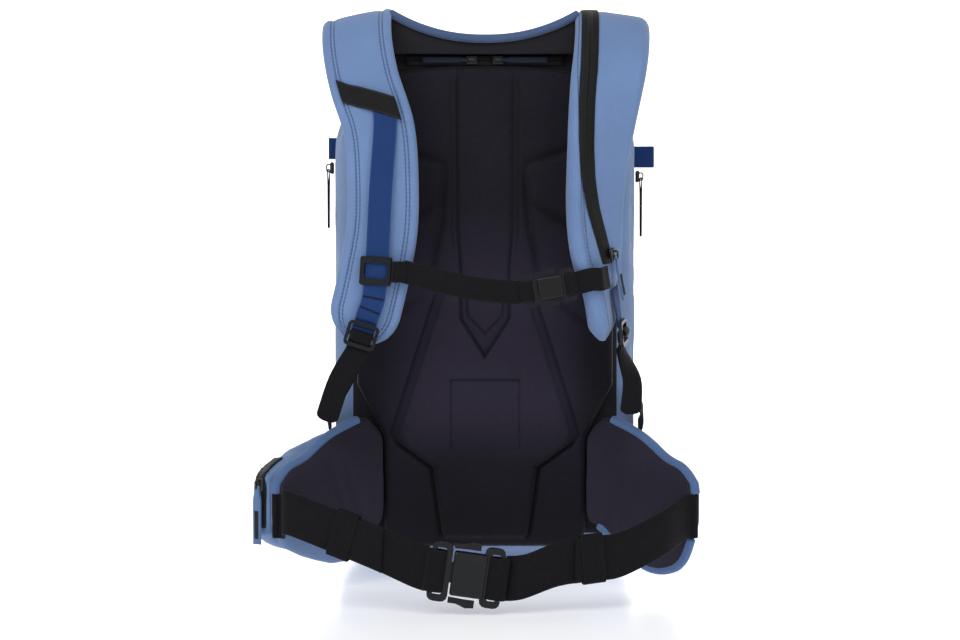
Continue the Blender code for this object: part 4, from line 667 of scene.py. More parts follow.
class Finishes:
    """All finishes of the backpack."""

    SHELL = Cloth("shell_cloth", "shell_fabric", (0.150, 0.240, 0.440))
    POCKET = Cloth("pocket_cloth", "shell_fabric", (0.150, 0.245, 0.440), wrinkle=0.0022)
    STRAP = Cloth("strap_cloth", "strap_fabric", (0.150, 0.243, 0.452), lie=Lie.PIECE, wrinkle=0.0006,
                  stitches=(0.0082, 0.0112), thread=(0.052, 0.088, 0.200))
    BINDING = Cloth("edge_binding", "strap_fabric", (0.085, 0.155, 0.330), lie=Lie.PIECE, pitch=0.0010,
                    wrinkle=0.0008)
    NECK = Cloth("neck_tape", "strap_fabric", (0.060, 0.100, 0.205), lie=Lie.PIECE, pitch=0.0010,
                 wrinkle=0.0010)
    LINING = Cloth("dark_lining", "panel_foam", (0.0090, 0.0085, 0.0120), wrinkle=0.0025, sheen=0.04)
    LABEL = Cloth("bare_label", "black_webbing", (0.0060, 0.0060, 0.0066), lie=Lie.PIECE, pitch=0.0008,
                  wrinkle=0.0002, sheen=0.02, stitches=(0.0013,), thread=(0.030, 0.030, 0.034))
    THREAD = Cloth("tack_thread", "navy_webbing", (0.006, 0.010, 0.028), pitch=0.0006, wrinkle=0.0001,
                   sheen=0.0)
    PULL = Cloth("pull_tape", "pull_fabric", (0.105, 0.185, 0.370), lie=Lie.PIECE, pitch=0.0010)
    DARK_PULL = Cloth("navy_pull_tape", "pull_fabric", (0.010, 0.014, 0.032), lie=Lie.PIECE, pitch=0.0010,
                      sheen=0.06)
    BLADDER = Cloth("bladder_cloth", "bladder_fabric", (0.620, 0.130, 0.030), wrinkle=0.0020)
    # Panel knit, painted much paler where light falls on its shield.
    PANEL = Foam("panel_knit", "panel_foam", (0.0070, 0.0058, 0.0112), 0.66, wear_and_painted_light=2.9)
    FIN = Foam("fin_knit", "panel_foam", (0.0205, 0.0184, 0.0315), 0.74)
    NAVY = Webbing("navy_ribs", "navy_webbing", (0.013, 0.048, 0.185))
    BLACK = Webbing("black_ribs", "black_webbing", (0.0062, 0.0058, 0.0078), 0.80, sheen=0.02)
    ZIP = ZipTape("zip_cover", "zip_tape", (0.0066, 0.0068, 0.0070), 0.62)
    PLASTIC = Moulded("buckle_moulding", "buckle_plastic", (0.0090, 0.0096, 0.0112), 0.34)
    RUBBER = Moulded("pull_grip", "pull_fabric", (0.012, 0.014, 0.018), 0.62)
    ZIP_METAL = Moulded("slider_metal", "zip_metal", (0.060, 0.060, 0.064), 0.38, metal=0.85)
    FRAME = Moulded("frame_board", "frame_plastic", (0.050, 0.050, 0.055), 0.55)
    CYLINDER = Moulded("cylinder_coat", "cylinder_paint", (0.300, 0.310, 0.330), 0.35, metal=0.9)
    VALVE = Moulded("valve_alloy", "valve_metal", (0.450, 0.460, 0.480), 0.35, metal=1.0)
    HANDLE = Moulded("handle_grip", "handle_plastic", (0.550, 0.030, 0.025), 0.50, rub=1.2)
    SHEATH = Moulded("sheath_cover", "cable_sheath", (0.015, 0.015, 0.016), 0.50)
    FLOOR = Floor("studio_floor", "", (0.92, 0.93, 0.96), 0.24)
    BACKDROP = Backdrop("studio_backdrop", "", (1.0, 1.0, 1.0))


# Pieces


class Pad(Enum):
    """How full a padded piece is, or that it isn't padded."""

    NONE = 0.0
    SLACK = 0.45
    SOFT = 0.6
    FIRM = 0.85


def linked(name: str, data: bpy.types.ID) -> bpy.types.Object:
    """New object in the scene."""
    obj = bpy.data.objects.new(name, data)
    bpy.context.scene.collection.objects.link(obj)
    return obj


def joint_of(name: str) -> dict[str, object]:
    """Joint of the CAD model."""
    return next(joint for joint in frame["joints"] if joint["name"] == name)


def settled(obj: bpy.types.Object) -> bpy.types.Mesh:
    """Mesh of an object as its modifiers leave it."""
    return bpy.data.meshes.new_from_object(obj.evaluated_get(bpy.context.evaluated_depsgraph_get()))


def add_piece(bm: Mesh, name: str, finishes: Sequence[Finish], body: str | None,
              nodes: Sequence[str] = (), levels: int = 0) -> bpy.types.Object:
    """Makes a finished piece from a mesh.

    Args:
        bm: The mesh, in metres and in its place.
        name: Name of the piece.
        finishes: Its finishes, in the order of its material slots.
        body: CAD body that it rides on, or none where it spans two bodies.
        nodes: CAD nodes that it stands for.
        levels: Levels of subdivision.

    Returns:
        The object.
    """
    mesh = bpy.data.meshes.new(name)
    for face in bm.faces:
        face.smooth = True
    bm.to_mesh(mesh)
    bm.free()
    obj = linked(name, mesh)
    for finish in finishes:
        mesh.materials.append(finish.material())
    if levels:
        rounding = obj.modifiers.new("rounding", "SUBSURF")
        rounding.levels = rounding.render_levels = levels
    if body:
        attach(obj, body)
    if nodes:
        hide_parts(*nodes)
    LOG.info("%s on %s: %d faces", name, body or "two bodies", len(mesh.polygons))
    return obj


def fill_out(obj: bpy.types.Object, cell: float, limit: float, free: Callable[[Vector], float]) -> None:
    """Blows a closed piece of cloth up a little and keeps the shape that it takes.

    Args:
        obj: The piece, before it is subdivided.
        cell: Size of the cells that its cloth is meshed in.
        limit: How far a point of the cloth may move.
        free: Share of that limit which a place has, less along a zip.
    """
    scene, mesh = bpy.context.scene, obj.data
    blown = linked("blown", mesh.copy())
    cells = blown.modifiers.new("cells", "REMESH")
    cells.mode, cells.voxel_size = "VOXEL", cell
    start = settled(blown)
    blown.modifiers.clear()
    blown.data = start
    cloth = blown.modifiers.new("cloth", "CLOTH")
    cloth.settings.use_pressure = True
    cloth.settings.uniform_pressure_force = CLOTH_PRESSURE
    cloth.settings.effector_weights.gravity = 0.0
    for step in range(CLOTH_FRAMES):
        scene.frame_set(step + 1)
    moved = settled(blown)
    scene.frame_set(1)
    bpy.data.objects.remove(blown)
    for old, new in zip(start.vertices, moved.vertices):
        way = new.co - old.co
        new.co = old.co + way * min(1.0, limit * free(old.co) / max(way.length, 1e-9))
    shape = bmesh.new()
    shape.from_mesh(moved)
    for face in shape.faces:
        face.smooth = True
        face.material_index = 0
    shape.to_mesh(mesh)
    shape.free()
    mesh.update()


@dataclass(frozen=True)
class BagSizes:
    """Main sizes of the bag that its pieces share, in metres."""

    width: float = 0.285
    height: float = 0.500
    depth: float = 0.185
    top_depth: float = 0.135
    back_y: float = -0.090
    face_y: float = -0.100
    corner: float = 0.030
    round_share: float = 0.2929
    taper: float = 1.6
    side_zip_y: float = -0.030
    side_zip_drops: Span = (0.116, 0.124)

    @property
    def side_x(self) -> float:
        """Half of the bag's width."""
        return self.width / 2

    def side_zip_top(self, side: Side) -> float:
        """Height of the slider of a side zip."""
        return self.height - side.pick(*self.side_zip_drops)

    def depth_at(self, z: float) -> float:
        """Depth of the bag at a height."""
        share = max(0.0, min(1.0, z / self.height))
        return self.depth - (self.depth - self.top_depth) * share ** self.taper


BAG = BagSizes()


@dataclass
class Bag:
    """The bag: its cloth, side zips, seams and the pocket on its front."""

    swell: float = 0.006
    side_swell: float = 0.0005
    crease: float = 0.0022
    tuck: float = 0.031
    top_in: float = 0.011
    back_in: float = 0.008
    side_in: float = 0.002
    piping: float = 0.0020
    zip_width: float = 0.015
    zip_thickness: float = 0.0008
    zip_reach: float = 0.165
    zip_steps: int = 24
    seam_steps: int = 30
    cuts: int = 70
    pocket_cuts: int = 44
    lining_half: float = 0.121
    lining_z: Span = (0.046, 0.4865)
    lining_y: float = 0.006
    wall_y: Span = (-0.070, -0.055)
    base_z: Span = (0.012, 0.060)
    zip_hold: Span = (0.008, 0.024)
    tuck_y: Span = (-0.090, 0.030)
    tuck_z: Span = (0.0, 0.070)
    under_strap_z: Span = (0.400, 0.450)
    back_edge_y: Span = (-0.078, -0.044)
    side_edge_x: Span = (0.090, 0.140)
    tab_rise: float = 0.0185
    tab_root: float = 0.004
    tab_reach: Span = (0.0089, 0.0214)
    tab_width: float = 0.020
    tab_thickness: float = 0.0014
    tab_fold: Rows = ((0.0, 0.0009), (0.5, 0.0011), (0.88, 0.0014), (0.97, 0.0008))
    pocket_size: tuple[float, float, float] = (0.210, 0.330, 0.024)
    pocket_low: float = 0.060
    pocket_zip_x: float = -0.070
    pocket_zip: Span = (0.120, 0.335)

    def build(self) -> None:
        """Builds the bag and what is sewn to it."""
        self.shell()
        for side in Side:
            self.side_zip(side)
            self.seam(side)
            self.side_tab(side)
        self.front_pocket()

    def loose(self, place: Vector) -> float:
        """How freely the cloth moves at a place: not at the back wall, the base or a zip."""
        free = ramp(place.y, *self.wall_y) * ramp(place.z, *self.base_z)
        return free * ramp(abs(place.y - BAG.side_zip_y), *self.zip_hold)

    def shell(self) -> None:
        """Cloth of the bag, which swells and creases between its seams."""
        half = Vector((BAG.side_x, BAG.depth / 2, BAG.height / 2))
        bm = rounded_block(half, BAG.corner, self.cuts)
        bmesh.ops.translate(bm, vec=(0, BAG.back_y + BAG.depth / 2, BAG.height / 2), verts=bm.verts)
        for vert in bm.verts:
            if vert.co.y > BAG.back_y:
                lean = BAG.depth_at(vert.co.z) / BAG.depth
                vert.co.y = BAG.back_y + (vert.co.y - BAG.back_y) * lean
            vert.co.x -= math.copysign(self.drawn_in(vert.co), vert.co.x)
        bm.normal_update()
        moves = [(vert, vert.normal * self.drape(vert.co.copy(), vert.normal.copy())) for vert in bm.verts]
        for vert, move in moves:
            vert.co += move
            back = 1 - ramp(vert.co.y, *self.tuck_y)
            vert.co.z += self.tuck * back * (1 - ramp(vert.co.z, *self.tuck_z))
        bmesh.ops.recalc_face_normals(bm, faces=bm.faces)
        low, high = self.lining_z
        for face in bm.faces:
            middle = face.calc_center_median()
            inner = abs(middle.x) < self.lining_half and low < middle.z < high
            if middle.y < BAG.back_y + self.lining_y and inner:
                face.material_index = 1
        add_piece(bm, "bag_cloth", [Finishes.SHELL, Finishes.LINING], "pack", ["pack_shell"])

    def drawn_in(self, place: Vector) -> float:
        """How far the cloth is drawn in under the straps and along the back edges."""
        top = self.top_in * ramp(place.z, *self.under_strap_z)
        back = self.back_in * (1 - ramp(place.y, *self.back_edge_y))
        return (top + back + self.side_in) * ramp(abs(place.x), *self.side_edge_x)

    def drape(self, place: Vector, normal: Vector) -> float:
        """How far the cloth stands out from the block at a place."""
        free = self.loose(place)
        belly = math.sin(math.pi * ramp(place.z, 0.0, BAG.height)) ** 0.7
        flat = abs(normal.x)
        wide = 1 - ramp(abs(place.x), 0.02, BAG.side_x) * (1 - flat)
        hang = noise.fractal(Vector((place.x * 14, place.y * 22, place.z * 9)), 0.8, 2.0, 3)
        ridge = abs(noise.noise(Vector((place.x * 9 + 3.1, place.y * 12, place.z * 26 + place.y * 18))))
        crease = hang * 0.9 - 1.2 * max(0.0, 0.12 - ridge) / 0.12
        zip_dip = (1 - ramp(abs(place.y - BAG.side_zip_y), 0.006, 0.010)) * ramp(flat, 0.8, 0.95)
        swell = self.side_swell * flat + self.swell * (1 - flat)
        crease = min(0.0, crease) * flat + crease * (1 - flat)
        return free * (swell * belly * wide + self.crease * crease) - 0.0010 * zip_dip

    def side_zip(self, side: Side) -> None:
        """Zip tape down the side of the bag."""
        top, x = BAG.side_zip_top(side) + 0.020, side.value * (BAG.side_x - self.side_in - 0.0001)
        places = [Vector((x, BAG.side_zip_y, top - self.zip_reach * t)) for t in shares(self.zip_steps)]
        path = straight(places, -side.value * Y_WAY)
        bm = tape_along(path, self.zip_width, self.zip_thickness)
        add_piece(bm, f"side_zip_tape_{side.word}", [Finishes.ZIP], "pack")

    def seam(self, side: Side) -> None:
        """Piped seam between the side and the front of the bag."""
        turn = BAG.corner * BAG.round_share
        out = Vector((side.value, 1, 0)).normalized()
        places = []
        for t in shares(self.seam_steps):
            z = BAG.corner + (BAG.height - 2 * BAG.corner) * t
            depth = BAG.depth_at(z)
            y = BAG.back_y + depth * (1 - turn / BAG.depth)
            inset = turn + self.drawn_in(Vector((BAG.side_x - turn, y, z)))
            place = Vector((side.value * (BAG.side_x - inset), y, z))
            places.append(place + out * self.drape(place, out))
        path = straight(places, X_WAY)
        grow = [min(1.0, 0.35 + 4 * min(t, 1 - t)) for t in shares(self.seam_steps)]
        bm = sweep(path, [oval_section(self.piping * g, self.piping * g, 8) for g in grow])
        add_piece(bm, f"seam_piping_{side.word}", [Finishes.BINDING], "pack")

    def side_tab(self, side: Side) -> None:
        """Webbing folded double and sewn into the side seam above the zip."""
        z = BAG.side_zip_top(side) + self.tab_rise
        root, reach = BAG.side_x - self.tab_root, side.pick(*self.tab_reach)
        rows = [*((t, -y) for t, y in self.tab_fold), (1.0, 0.0), *reversed(self.tab_fold)]
        places = [Vector((side.value * (root + reach * t), BAG.side_zip_y + y, z)) for t, y in rows]
        path = curved(places, [Z_WAY] * len(places), 3)
        bm = tape_along(path, self.tab_width, self.tab_thickness)
        add_piece(bm, f"folded_side_tab_{side.word}", [Finishes.NAVY], "pack", [f"side_tab_{side.word}"])

    def front_pocket(self) -> None:
        """Pocket on the front, which leans with the bag, and its zip."""
        wide, high, bulge = self.pocket_size
        low, top = self.pocket_low, self.pocket_low + high
        low_y, top_y = (BAG.back_y + BAG.depth_at(z) for z in (low, top))
        up = Vector((0, top_y - low_y, top - low)).normalized()
        out = up.cross(X_WAY)
        middle = Vector((0, (low_y + top_y) / 2, (low + top) / 2))
        turn = Matrix((X_WAY, out, up)).transposed().to_4x4()
        bm = rounded_block(Vector((wide / 2, bulge, high / 2)), bulge * 0.8, self.pocket_cuts)
        for vert in bm.verts:
            place = vert.co.copy()
            edge = ramp(wide / 2 - abs(place.x), 0.0, 0.04) * ramp(high / 2 - abs(place.z), 0.0, 0.05)
            off = abs(place.x - self.pocket_zip_x)
            free = edge * ramp(off, 0.008, 0.030)
            fold = noise.fractal(Vector((place.x * 16, 4.2, place.z * 12)), 0.8, 2.0, 3)
            if place.y > 0:
                vert.co.y += free * (0.006 + 0.0025 * fold) - 0.0008 * (1 - ramp(off, 0.006, 0.010))
        bm.transform(Matrix.Translation(middle) @ turn)
        bmesh.ops.recalc_face_normals(bm, faces=bm.faces)
        pocket = add_piece(bm, "front_pocket_cloth", [Finishes.POCKET], "pack", ["front_pocket"])
        fill_out(pocket, 0.005, 0.005, lambda place: ramp(abs(place.x - self.pocket_zip_x), 0.009, 0.030))
        face = middle + out * (bulge - 0.0002)
        first, last = self.pocket_zip
        heights = [first + (last - first) * t for t in shares(self.zip_steps)]
        places = [face + self.pocket_zip_x * X_WAY + up * (z - middle.z) for z in heights]
        path = straight(places, X_WAY)
        tape = tape_along(path, self.zip_width, self.zip_thickness)
        add_piece(tape, "front_zip_tape", [Finishes.ZIP], "pack")


@dataclass
class BackPanel:
    """Moulded panel behind the wearer's back, with its shield, channel and pads."""

    bottom: float = 0.034
    top: float = 0.4733
    arch: float = 0.0095
    half: float = 0.117
    hip_half: float = 0.092
    waist_z: float = 0.187
    hip_z: float = 0.137
    corner: float = 0.014
    edge: float = 0.007
    rise: float = 0.0045
    flank: float = 0.0078
    lumbar: float = 0.0030
    shield_z: Span = (0.038, 0.272)
    foot_z: Span = (0.126, 0.140)
    foot_flank: float = 0.0040
    crevice: float = 0.0034
    rim_line: float = 0.0007
    spine: float = 0.0016
    spine_low: float = 0.0010
    chevron_deep: float = 0.0020
    seam: float = 0.0016
    second_seam: float = 0.0007
    recess_deep: float = 0.0013
    pad_rise: float = 0.0012
    low_shade: float = 0.30
    shield: Rows = (
        (0.0400, 0.0385), (0.0458, 0.0395), (0.1072, 0.0480), (0.1286, 0.0780), (0.1375, 0.0862),
        (0.2323, 0.0560), (0.2600, 0.0470), (0.2700, 0.0440),
    )
    channel: Rows = (
        (0.2078, 0.0), (0.2423, 0.0221), (0.2550, 0.0226), (0.2870, 0.0222), (0.3250, 0.0252),
        (0.4720, 0.0257),
    )
    chevron: Rows = ((0.2291, 0.0), (0.2451, 0.0155), (0.2620, 0.0172), (0.3000, 0.0190))
    recess: tuple[float, float, float] = (0.0312, 0.0310, 0.1560)
    dents: tuple[tuple[float, float, Rows, float], ...] = (
        (0.0030, 0.45, ((0.0365, 0.3760), (0.0412, 0.3280)), 0.0040),
        (0.0026, 0.45, ((0.0412, 0.3280), (0.0490, 0.2860)), 0.0040),
        (0.0036, 0.60, ((0.0400, 0.3840), (0.0990, 0.4040)), 0.0046),
        (0.0036, 0.60, ((0.0490, 0.3445), (0.0990, 0.3180)), 0.0046),
        (0.0020, 0.30, ((0.0620, 0.2620), (0.1080, 0.2300)), 0.0050),
    )
    columns: int = 190
    rows: int = 350

    def half_width(self, z: float) -> float:
        """Half of the panel's width at a height."""
        low, hip, turn = self.bottom, self.hip_half, self.corner
        rows = [
            (low, hip - turn), (low + turn * 0.3, hip - 0.005), (low + turn, hip), (self.hip_z, hip),
            (self.waist_z, self.half), (self.top - turn * 1.4, self.half),
            (self.top - turn * 0.4, self.half - 0.008), (self.top, self.half - 2 * turn),
        ]
        return between(z, rows)

    def inside(self, x: float, z: float, rows: Rows) -> float:
        """Distance from a place to an outline, square to it and positive on the inner side."""
        (low, first), (high, second) = next(
            (pair for pair in zip(rows, rows[1:]) if z <= pair[1][0]), (rows[-2], rows[-1]))
        slope = (second - first) / (high - low)
        return (first + slope * (z - low) - x) / math.hypot(1.0, slope)

    def line(self, off: float, width: float) -> float:
        """Share of a pressed line at a distance from its middle."""
        return math.exp(-(off / width) ** 2)

    def groove(self, x: float, z: float, rows: Rows, width: float) -> float:
        """Share of a soft groove that runs between two points."""
        (ax, az), (bx, bz) = rows
        wide, high = bx - ax, bz - az
        t = max(0.0, min(1.0, ((x - ax) * wide + (z - az) * high) / (wide ** 2 + high ** 2)))
        off = math.hypot(x - ax - t * wide, z - az - t * high)
        return self.line(off, width) * math.sin(math.pi * (0.10 + 0.84 * t)) ** 0.5

    def raised(self, x: float, z: float) -> tuple[float, float]:
        """Height of the shield in the small of the back, and the share of painted shade in its creases."""
        low, high = self.shield_z
        if not low < z < high:
            return 0.0, 0.0
        off = self.inside(x, z, self.shield)
        ends = ramp(z, 0.040, 0.047) * (1 - ramp(z, 0.258, 0.270))
        foot = 1 - ramp(z, *self.foot_z)
        wide = self.flank + (self.foot_flank - self.flank) * foot
        up = max(0.0, min(1.0, off / wide))
        crevice = self.line(off + 0.0006, 0.0020) * foot
        rims = self.line(off, 0.0011) * 0.75 + self.line(off - wide, 0.0013) * 0.40
        # Painted shade in the crevice and along the shield's rims.
        crease = max(crevice, rims * (1 - foot)) * ends
        out = self.rise * up - self.crevice * crevice - self.rim_line * rims * (1 - foot)
        return out * ends, crease

    def pressed(self, side: float, z: float) -> tuple[float, Vector]:
        """How far the panel stands out at a place, and the painted shade and painted light there."""
        x = abs(side)
        out, crease = self.raised(x, z)
        off = self.inside(x, z, self.channel)
        spine = ramp(off, -0.0006, 0.0018)
        inner = ramp(self.inside(x, z, self.chevron), -0.0005, 0.0012) * (1 - ramp(z, 0.262, 0.285))
        deep = self.spine + self.spine_low * (1 - ramp(z, 0.25, 0.29))
        out = out * (1 - spine) - deep * spine - self.chevron_deep * inner
        end = 1 - ramp(z, self.top - 0.016, self.top - 0.009)
        seam = self.line(off - 0.0004, 0.0013) * end
        second = self.line(off + 0.0052, 0.0012) * end * ramp(z, 0.290, 0.320)
        fine = self.line(self.inside(x, z, self.chevron), 0.0011) * (1 - ramp(z, 0.258, 0.272))
        out -= self.seam * seam + self.second_seam * second
        # Painted shade along the seams and the chevron lines.
        crease = max(crease * (1 - spine), seam * 0.85, fine * 0.80, second * 0.35)
        half_wide, half_high, mid = self.recess
        within = min(half_wide - x, half_high - abs(z - mid))
        # Painted shade along the border of the recess.
        border = self.line(within, 0.0010) * (0.85 if z > mid + half_high - 0.003 else 0.45)
        out -= self.recess_deep * ramp(within, -0.0006, 0.0010)
        # Each dent is pressed in, and its dark share paints shade into it.
        for deep, dark, rows, width in self.dents:
            share = self.groove(x, z, rows, width)
            out -= deep * share
            crease = max(crease, dark * share)
        pads = ramp(x, 0.030, 0.060) * (1 - ramp(x, 0.095, 0.115)) * ramp(z, 0.270, 0.300)
        out += self.pad_rise * pads * (1 - ramp(z, 0.440, 0.465))
        out += self.lumbar * self.line(z - 0.125, 0.085) * (1 - ramp(x, 0.060, 0.100))
        # Painted shade, darker towards the foot of the panel.
        low = self.low_shade * (1 - ramp(z, 0.055, 0.115))
        # Painted light where the shield tilts up towards the lamps.
        wear_and_painted_light = ramp(z, 0.100, 0.170) * (1 - ramp(z, 0.265, 0.360)) * (1 - ramp(x, 0.060, 0.105))
        return out, Vector((max(crease, border, low), wear_and_painted_light, 0.0))

    def build(self) -> None:
        """Builds the panel from a grid that is pressed into its relief."""
        bm = bmesh.new()
        bmesh.ops.create_grid(bm, x_segments=self.columns, y_segments=self.rows, size=1.0)
        # The mesh carries painted shade and painted light for its finish.
        marks = bm.verts.layers.float_vector.new(PAINTED_SHADING)
        boundary = [edge for edge in bm.edges if edge.is_boundary]
        for vert in bm.verts:
            share = (vert.co.y + 1) / 2
            half = self.half_width(self.bottom + (self.top - self.bottom) * share)
            x = vert.co.x * half
            top = self.top - self.arch * (x / 0.1) ** 2
            z = self.bottom + (top - self.bottom) * share
            rim = min(half - abs(x), z - self.bottom, top - z)
            flat = max(0.0, min(1.0, rim / self.edge))
            drawn = self.edge * (1 - math.sqrt(1 - (1 - flat) ** 2))
            out, vert[marks] = self.pressed(x, z)
            vert.co = Vector((x, BAG.face_y - out + drawn, z))
        wall = bmesh.ops.extrude_edge_only(bm, edges=boundary)["geom"]
        for vert in (item for item in wall if isinstance(item, bmesh.types.BMVert)):
            vert.co.y = BAG.back_y + 0.003
        rim_edges = [edge for edge in bm.edges if edge.is_boundary]
        bmesh.ops.edgeloop_fill(bm, edges=rim_edges)
        bmesh.ops.recalc_face_normals(bm, faces=bm.faces)
        add_piece(bm, "back_panel_pad", [Finishes.PANEL], "pack", ["back_panel"])


@dataclass
class NeckYoke:
    """Padded piece between the tops of the straps, with a bound neckline, and the zip below it."""

    left: float = -0.0868
    right: float = 0.0852
    front: float = -0.104
    back: float = -0.060
    low: float = 0.4816
    rise: float = 0.0215
    half: float = 0.083
    binding: Span = (0.0046, 0.0040)
    binding_out: float = 0.0022
    fold: float = 0.0016
    crown: float = 0.00132
    zip_z: float = 0.478
    zip_half: float = 0.072
    zip_size: Span = (0.009, 0.0012)
    steps: int = 60
    zip_steps: int = 40
    face_steps: int = 12

    def neck(self, x: float) -> float:
        """Height of the neckline."""
        return BAG.height + self.rise * abs(x / self.half) ** 2.2

    def build(self) -> None:
        """Builds the yoke, its binding and the zip tape."""
        xs = [self.left + (self.right - self.left) * t for t in shares(self.steps)]
        path = [Station(x * X_WAY, Y_WAY, X_WAY, Z_WAY) for x in xs]
        bm = sweep(path, [self.section(x) for x in xs])
        add_piece(bm, "neck_yoke_pad", [Finishes.LINING], "pack", ["neck_yoke"], levels=1)
        wide, high = self.binding
        places = [Vector((x, self.front - self.binding_out, self.neck(x) - high)) for x in xs]
        along = straight(places, Z_WAY)
        bm = sweep(along, [oval_section(high, wide)] * len(along))
        add_piece(bm, "neck_binding", [Finishes.NECK], "pack", levels=1)
        y = BAG.back_y - 0.0010
        places = [Vector((self.zip_half * (2 * t - 1), y, self.zip_z)) for t in shares(self.zip_steps)]
        bm = tape_along(straight(places, Z_WAY), *self.zip_size)
        add_piece(bm, "back_opening_zip", [Finishes.ZIP], "pack", ["back_zip_tape"])

    def section(self, x: float) -> Section:
        """Section of the yoke at a place, with the folds of its lining."""
        top = self.neck(x)
        face = []
        for t in shares(self.face_steps):
            z = self.low + (top - 0.004 - self.low) * t
            fold = noise.fractal(Vector((x * 30 + z * 22, 1.7, z * 55)), 0.9, 2.0, 2)
            face.append((self.front + (self.fold * fold - self.crown) * 4 * t * (1 - t), z))
        return [*face, (self.front + 0.004, top - 0.001), (self.back, top - 0.004),
                (self.back, self.low + 0.016), (BAG.back_y - 0.0006, self.low + 0.004)]


STRAP_OFFS = (
    0.0, 0.0005, 0.0016, 0.0032, 0.0052, 0.0070, 0.0084, 0.0100, 0.0125, 0.0160, 0.0205, 0.0255, 0.0290,
)


@dataclass
class ShoulderStrap:
    """Padded shoulder strap with rolled edges and two rows of stitching."""

    side: Side
    rows: Rows
    face: float
    half: float = 0.0315
    tip: float = 0.032
    crown: float = 0.0018
    seam: tuple[float, float, float] = (0.0016, 0.0097, 0.0018)
    roll: Span = (0.0052, 0.0075)
    zip_lip: float = 0.0006
    zip_deep: float = 0.0016
    slump: float = 0.0
    flare: float = 0.0
    zip_rows: Rows = ()
    zip_width: float = 0.0152
    zip_low: float = 0.208
    label_steps: int = 16
    label_across: Span = (-0.0238, 0.0444)
    label_z: Span = (0.4491, 0.0291)
    label_size: Span = (0.0222, 0.0008)
    lining_low: float = 0.30
    lining_turns: Span = (-0.35, -0.9)

    def path(self, steps: int = 8) -> list[Station]:
        """Stations down the middle of the strap."""
        placed = [
            (self.side.value * (BAG.side_x - inset), BAG.face_y - out, BAG.height - drop, math.radians(turn))
            for inset, out, drop, turn in self.rows
        ]
        rows = smooth(placed, steps)
        acrosses = [Vector((math.cos(row[3]), math.sin(row[3]), 0)) for row in rows]
        under = stations([Vector(row[:3]) for row in rows], acrosses)
        return [station.at(station.spot(0, self.face)) for station in under]

    def zip_across(self, z: float) -> float:
        """Place of the strap's zip across it at a height."""
        return between(BAG.height - z, self.zip_rows) - self.half

    def lying(self, station: Station, across: float) -> float:
        """How far the strap slumps towards the bag at a place across it."""
        start = self.zip_across(station.place.z) + self.zip_width / 2 if self.zip_rows else -self.half
        share = max(0.0, (self.side.value * across - start) / (self.half - start))
        return self.slump * max(0.0, station.normal.z) * share

    def rolled(self, off: float, reach: float) -> float:
        """Height of the face at a distance from an edge that rolls over within a reach."""
        return self.face * math.sqrt(1 - (1 - min(1.0, off / reach)) ** 2)

    def zip_seat(self, off: float, height: float) -> float:
        """How far the face stands out beside the zip, or lies in under it."""
        reach = self.zip_width / 2
        lip = self.zip_lip * math.exp(-((off - reach) / 0.002) ** 2)
        under = (1 - ramp(off, reach - 0.001, reach + 0.0015)) * ramp(height, 0, self.face)
        return lip - self.zip_deep * under

    def section(self, half: float, zip_at: float | None) -> Section:
        """Section of the strap, drawn in along its stitching and under its zip.

        Args:
            half: Half of the strap's width here.
            zip_at: Place of the zip across the strap, if it has one.

        Returns:
            The section, from the left edge over the face to the back.
        """
        share = half / self.half
        deep, middle, wide = self.seam
        face = []
        for off in STRAP_OFFS:
            seam = deep * math.exp(-((off - middle) / wide) ** 2)
            height = self.rolled(off, self.roll[0]) - seam + 0.0007 * ramp(off, 0.0100, 0.0250)
            face.append((-half + off * share, height))
        far = [(-x, y) for x, y in reversed(face)]
        if self.zip_rows:
            plain = [self.rolled(off, self.roll[1]) + 0.0006 * ramp(off, 0.004, 0.020) for off in STRAP_OFFS]
            far = [(x, y) for (x, _), y in zip(far, reversed(plain))]
        face = face + [(0.0, self.face + 0.0008)] + far
        if zip_at is not None:
            face = [(x, y + self.zip_seat(abs(x - zip_at), y)) for x, y in face]
        back = [(0.9 * half, -self.face * 0.75), (0.72 * half, -self.face),
                (0.36 * half, -self.face - self.crown * 0.8), (0.0, -self.face - self.crown)]
        return face + back + [(-x, y) for x, y in reversed(back[:-1])]

    def build(self) -> None:
        """Builds the strap, its face in strap cloth and its back in dark lining."""
        path = self.path()
        lengths = [0.0]
        for first, second in zip(path, path[1:]):
            lengths.append(lengths[-1] + (second.place - first.place).length)
        sections = []
        for station, length in zip(path, lengths):
            left = lengths[-1] - length
            share = math.sqrt(1 - 0.99 * (1 - left / self.tip) ** 2) if left < self.tip else 1.0
            zip_at = None
            if self.zip_rows and station.place.z > BAG.height - self.zip_low:
                zip_at = self.zip_across(station.place.z)
            thin = 0.18 + 0.82 * ramp(left, -0.003, 0.017)
            grow = 1 + self.flare * (1 - ramp(BAG.height - station.place.z, 0.030, 0.130))
            section = self.section(self.half * share, zip_at)
            section = [(x, y * thin - self.lying(station, x)) for x, y in section]
            sections.append([(x * grow if x * self.side.value > 0 else x, y) for x, y in section])
        bm = sweep(path, sections)
        sewn = bm.verts.layers.float_vector[SEWN]
        for vert in bm.verts:
            if self.zip_rows and vert[sewn].z > 0:
                vert[sewn] = (self.half, vert[sewn].y, vert[sewn].z)
        for face in bm.faces:
            near = min(path, key=lambda s: (s.place - face.calc_center_median()).length)
            plain = self.zip_rows and near.place.z < self.lining_low
            if face.normal.dot(near.normal) < self.side.pick(*self.lining_turns) and not plain:
                face.material_index = 1
        word = self.side.word
        add_piece(bm, f"{word}_strap_pad", [Finishes.STRAP, Finishes.LINING], "pack",
                  [f"{word}_shoulder_strap"], levels=1)
        if self.zip_rows:
            self.zip(path)
        else:
            self.label(path)

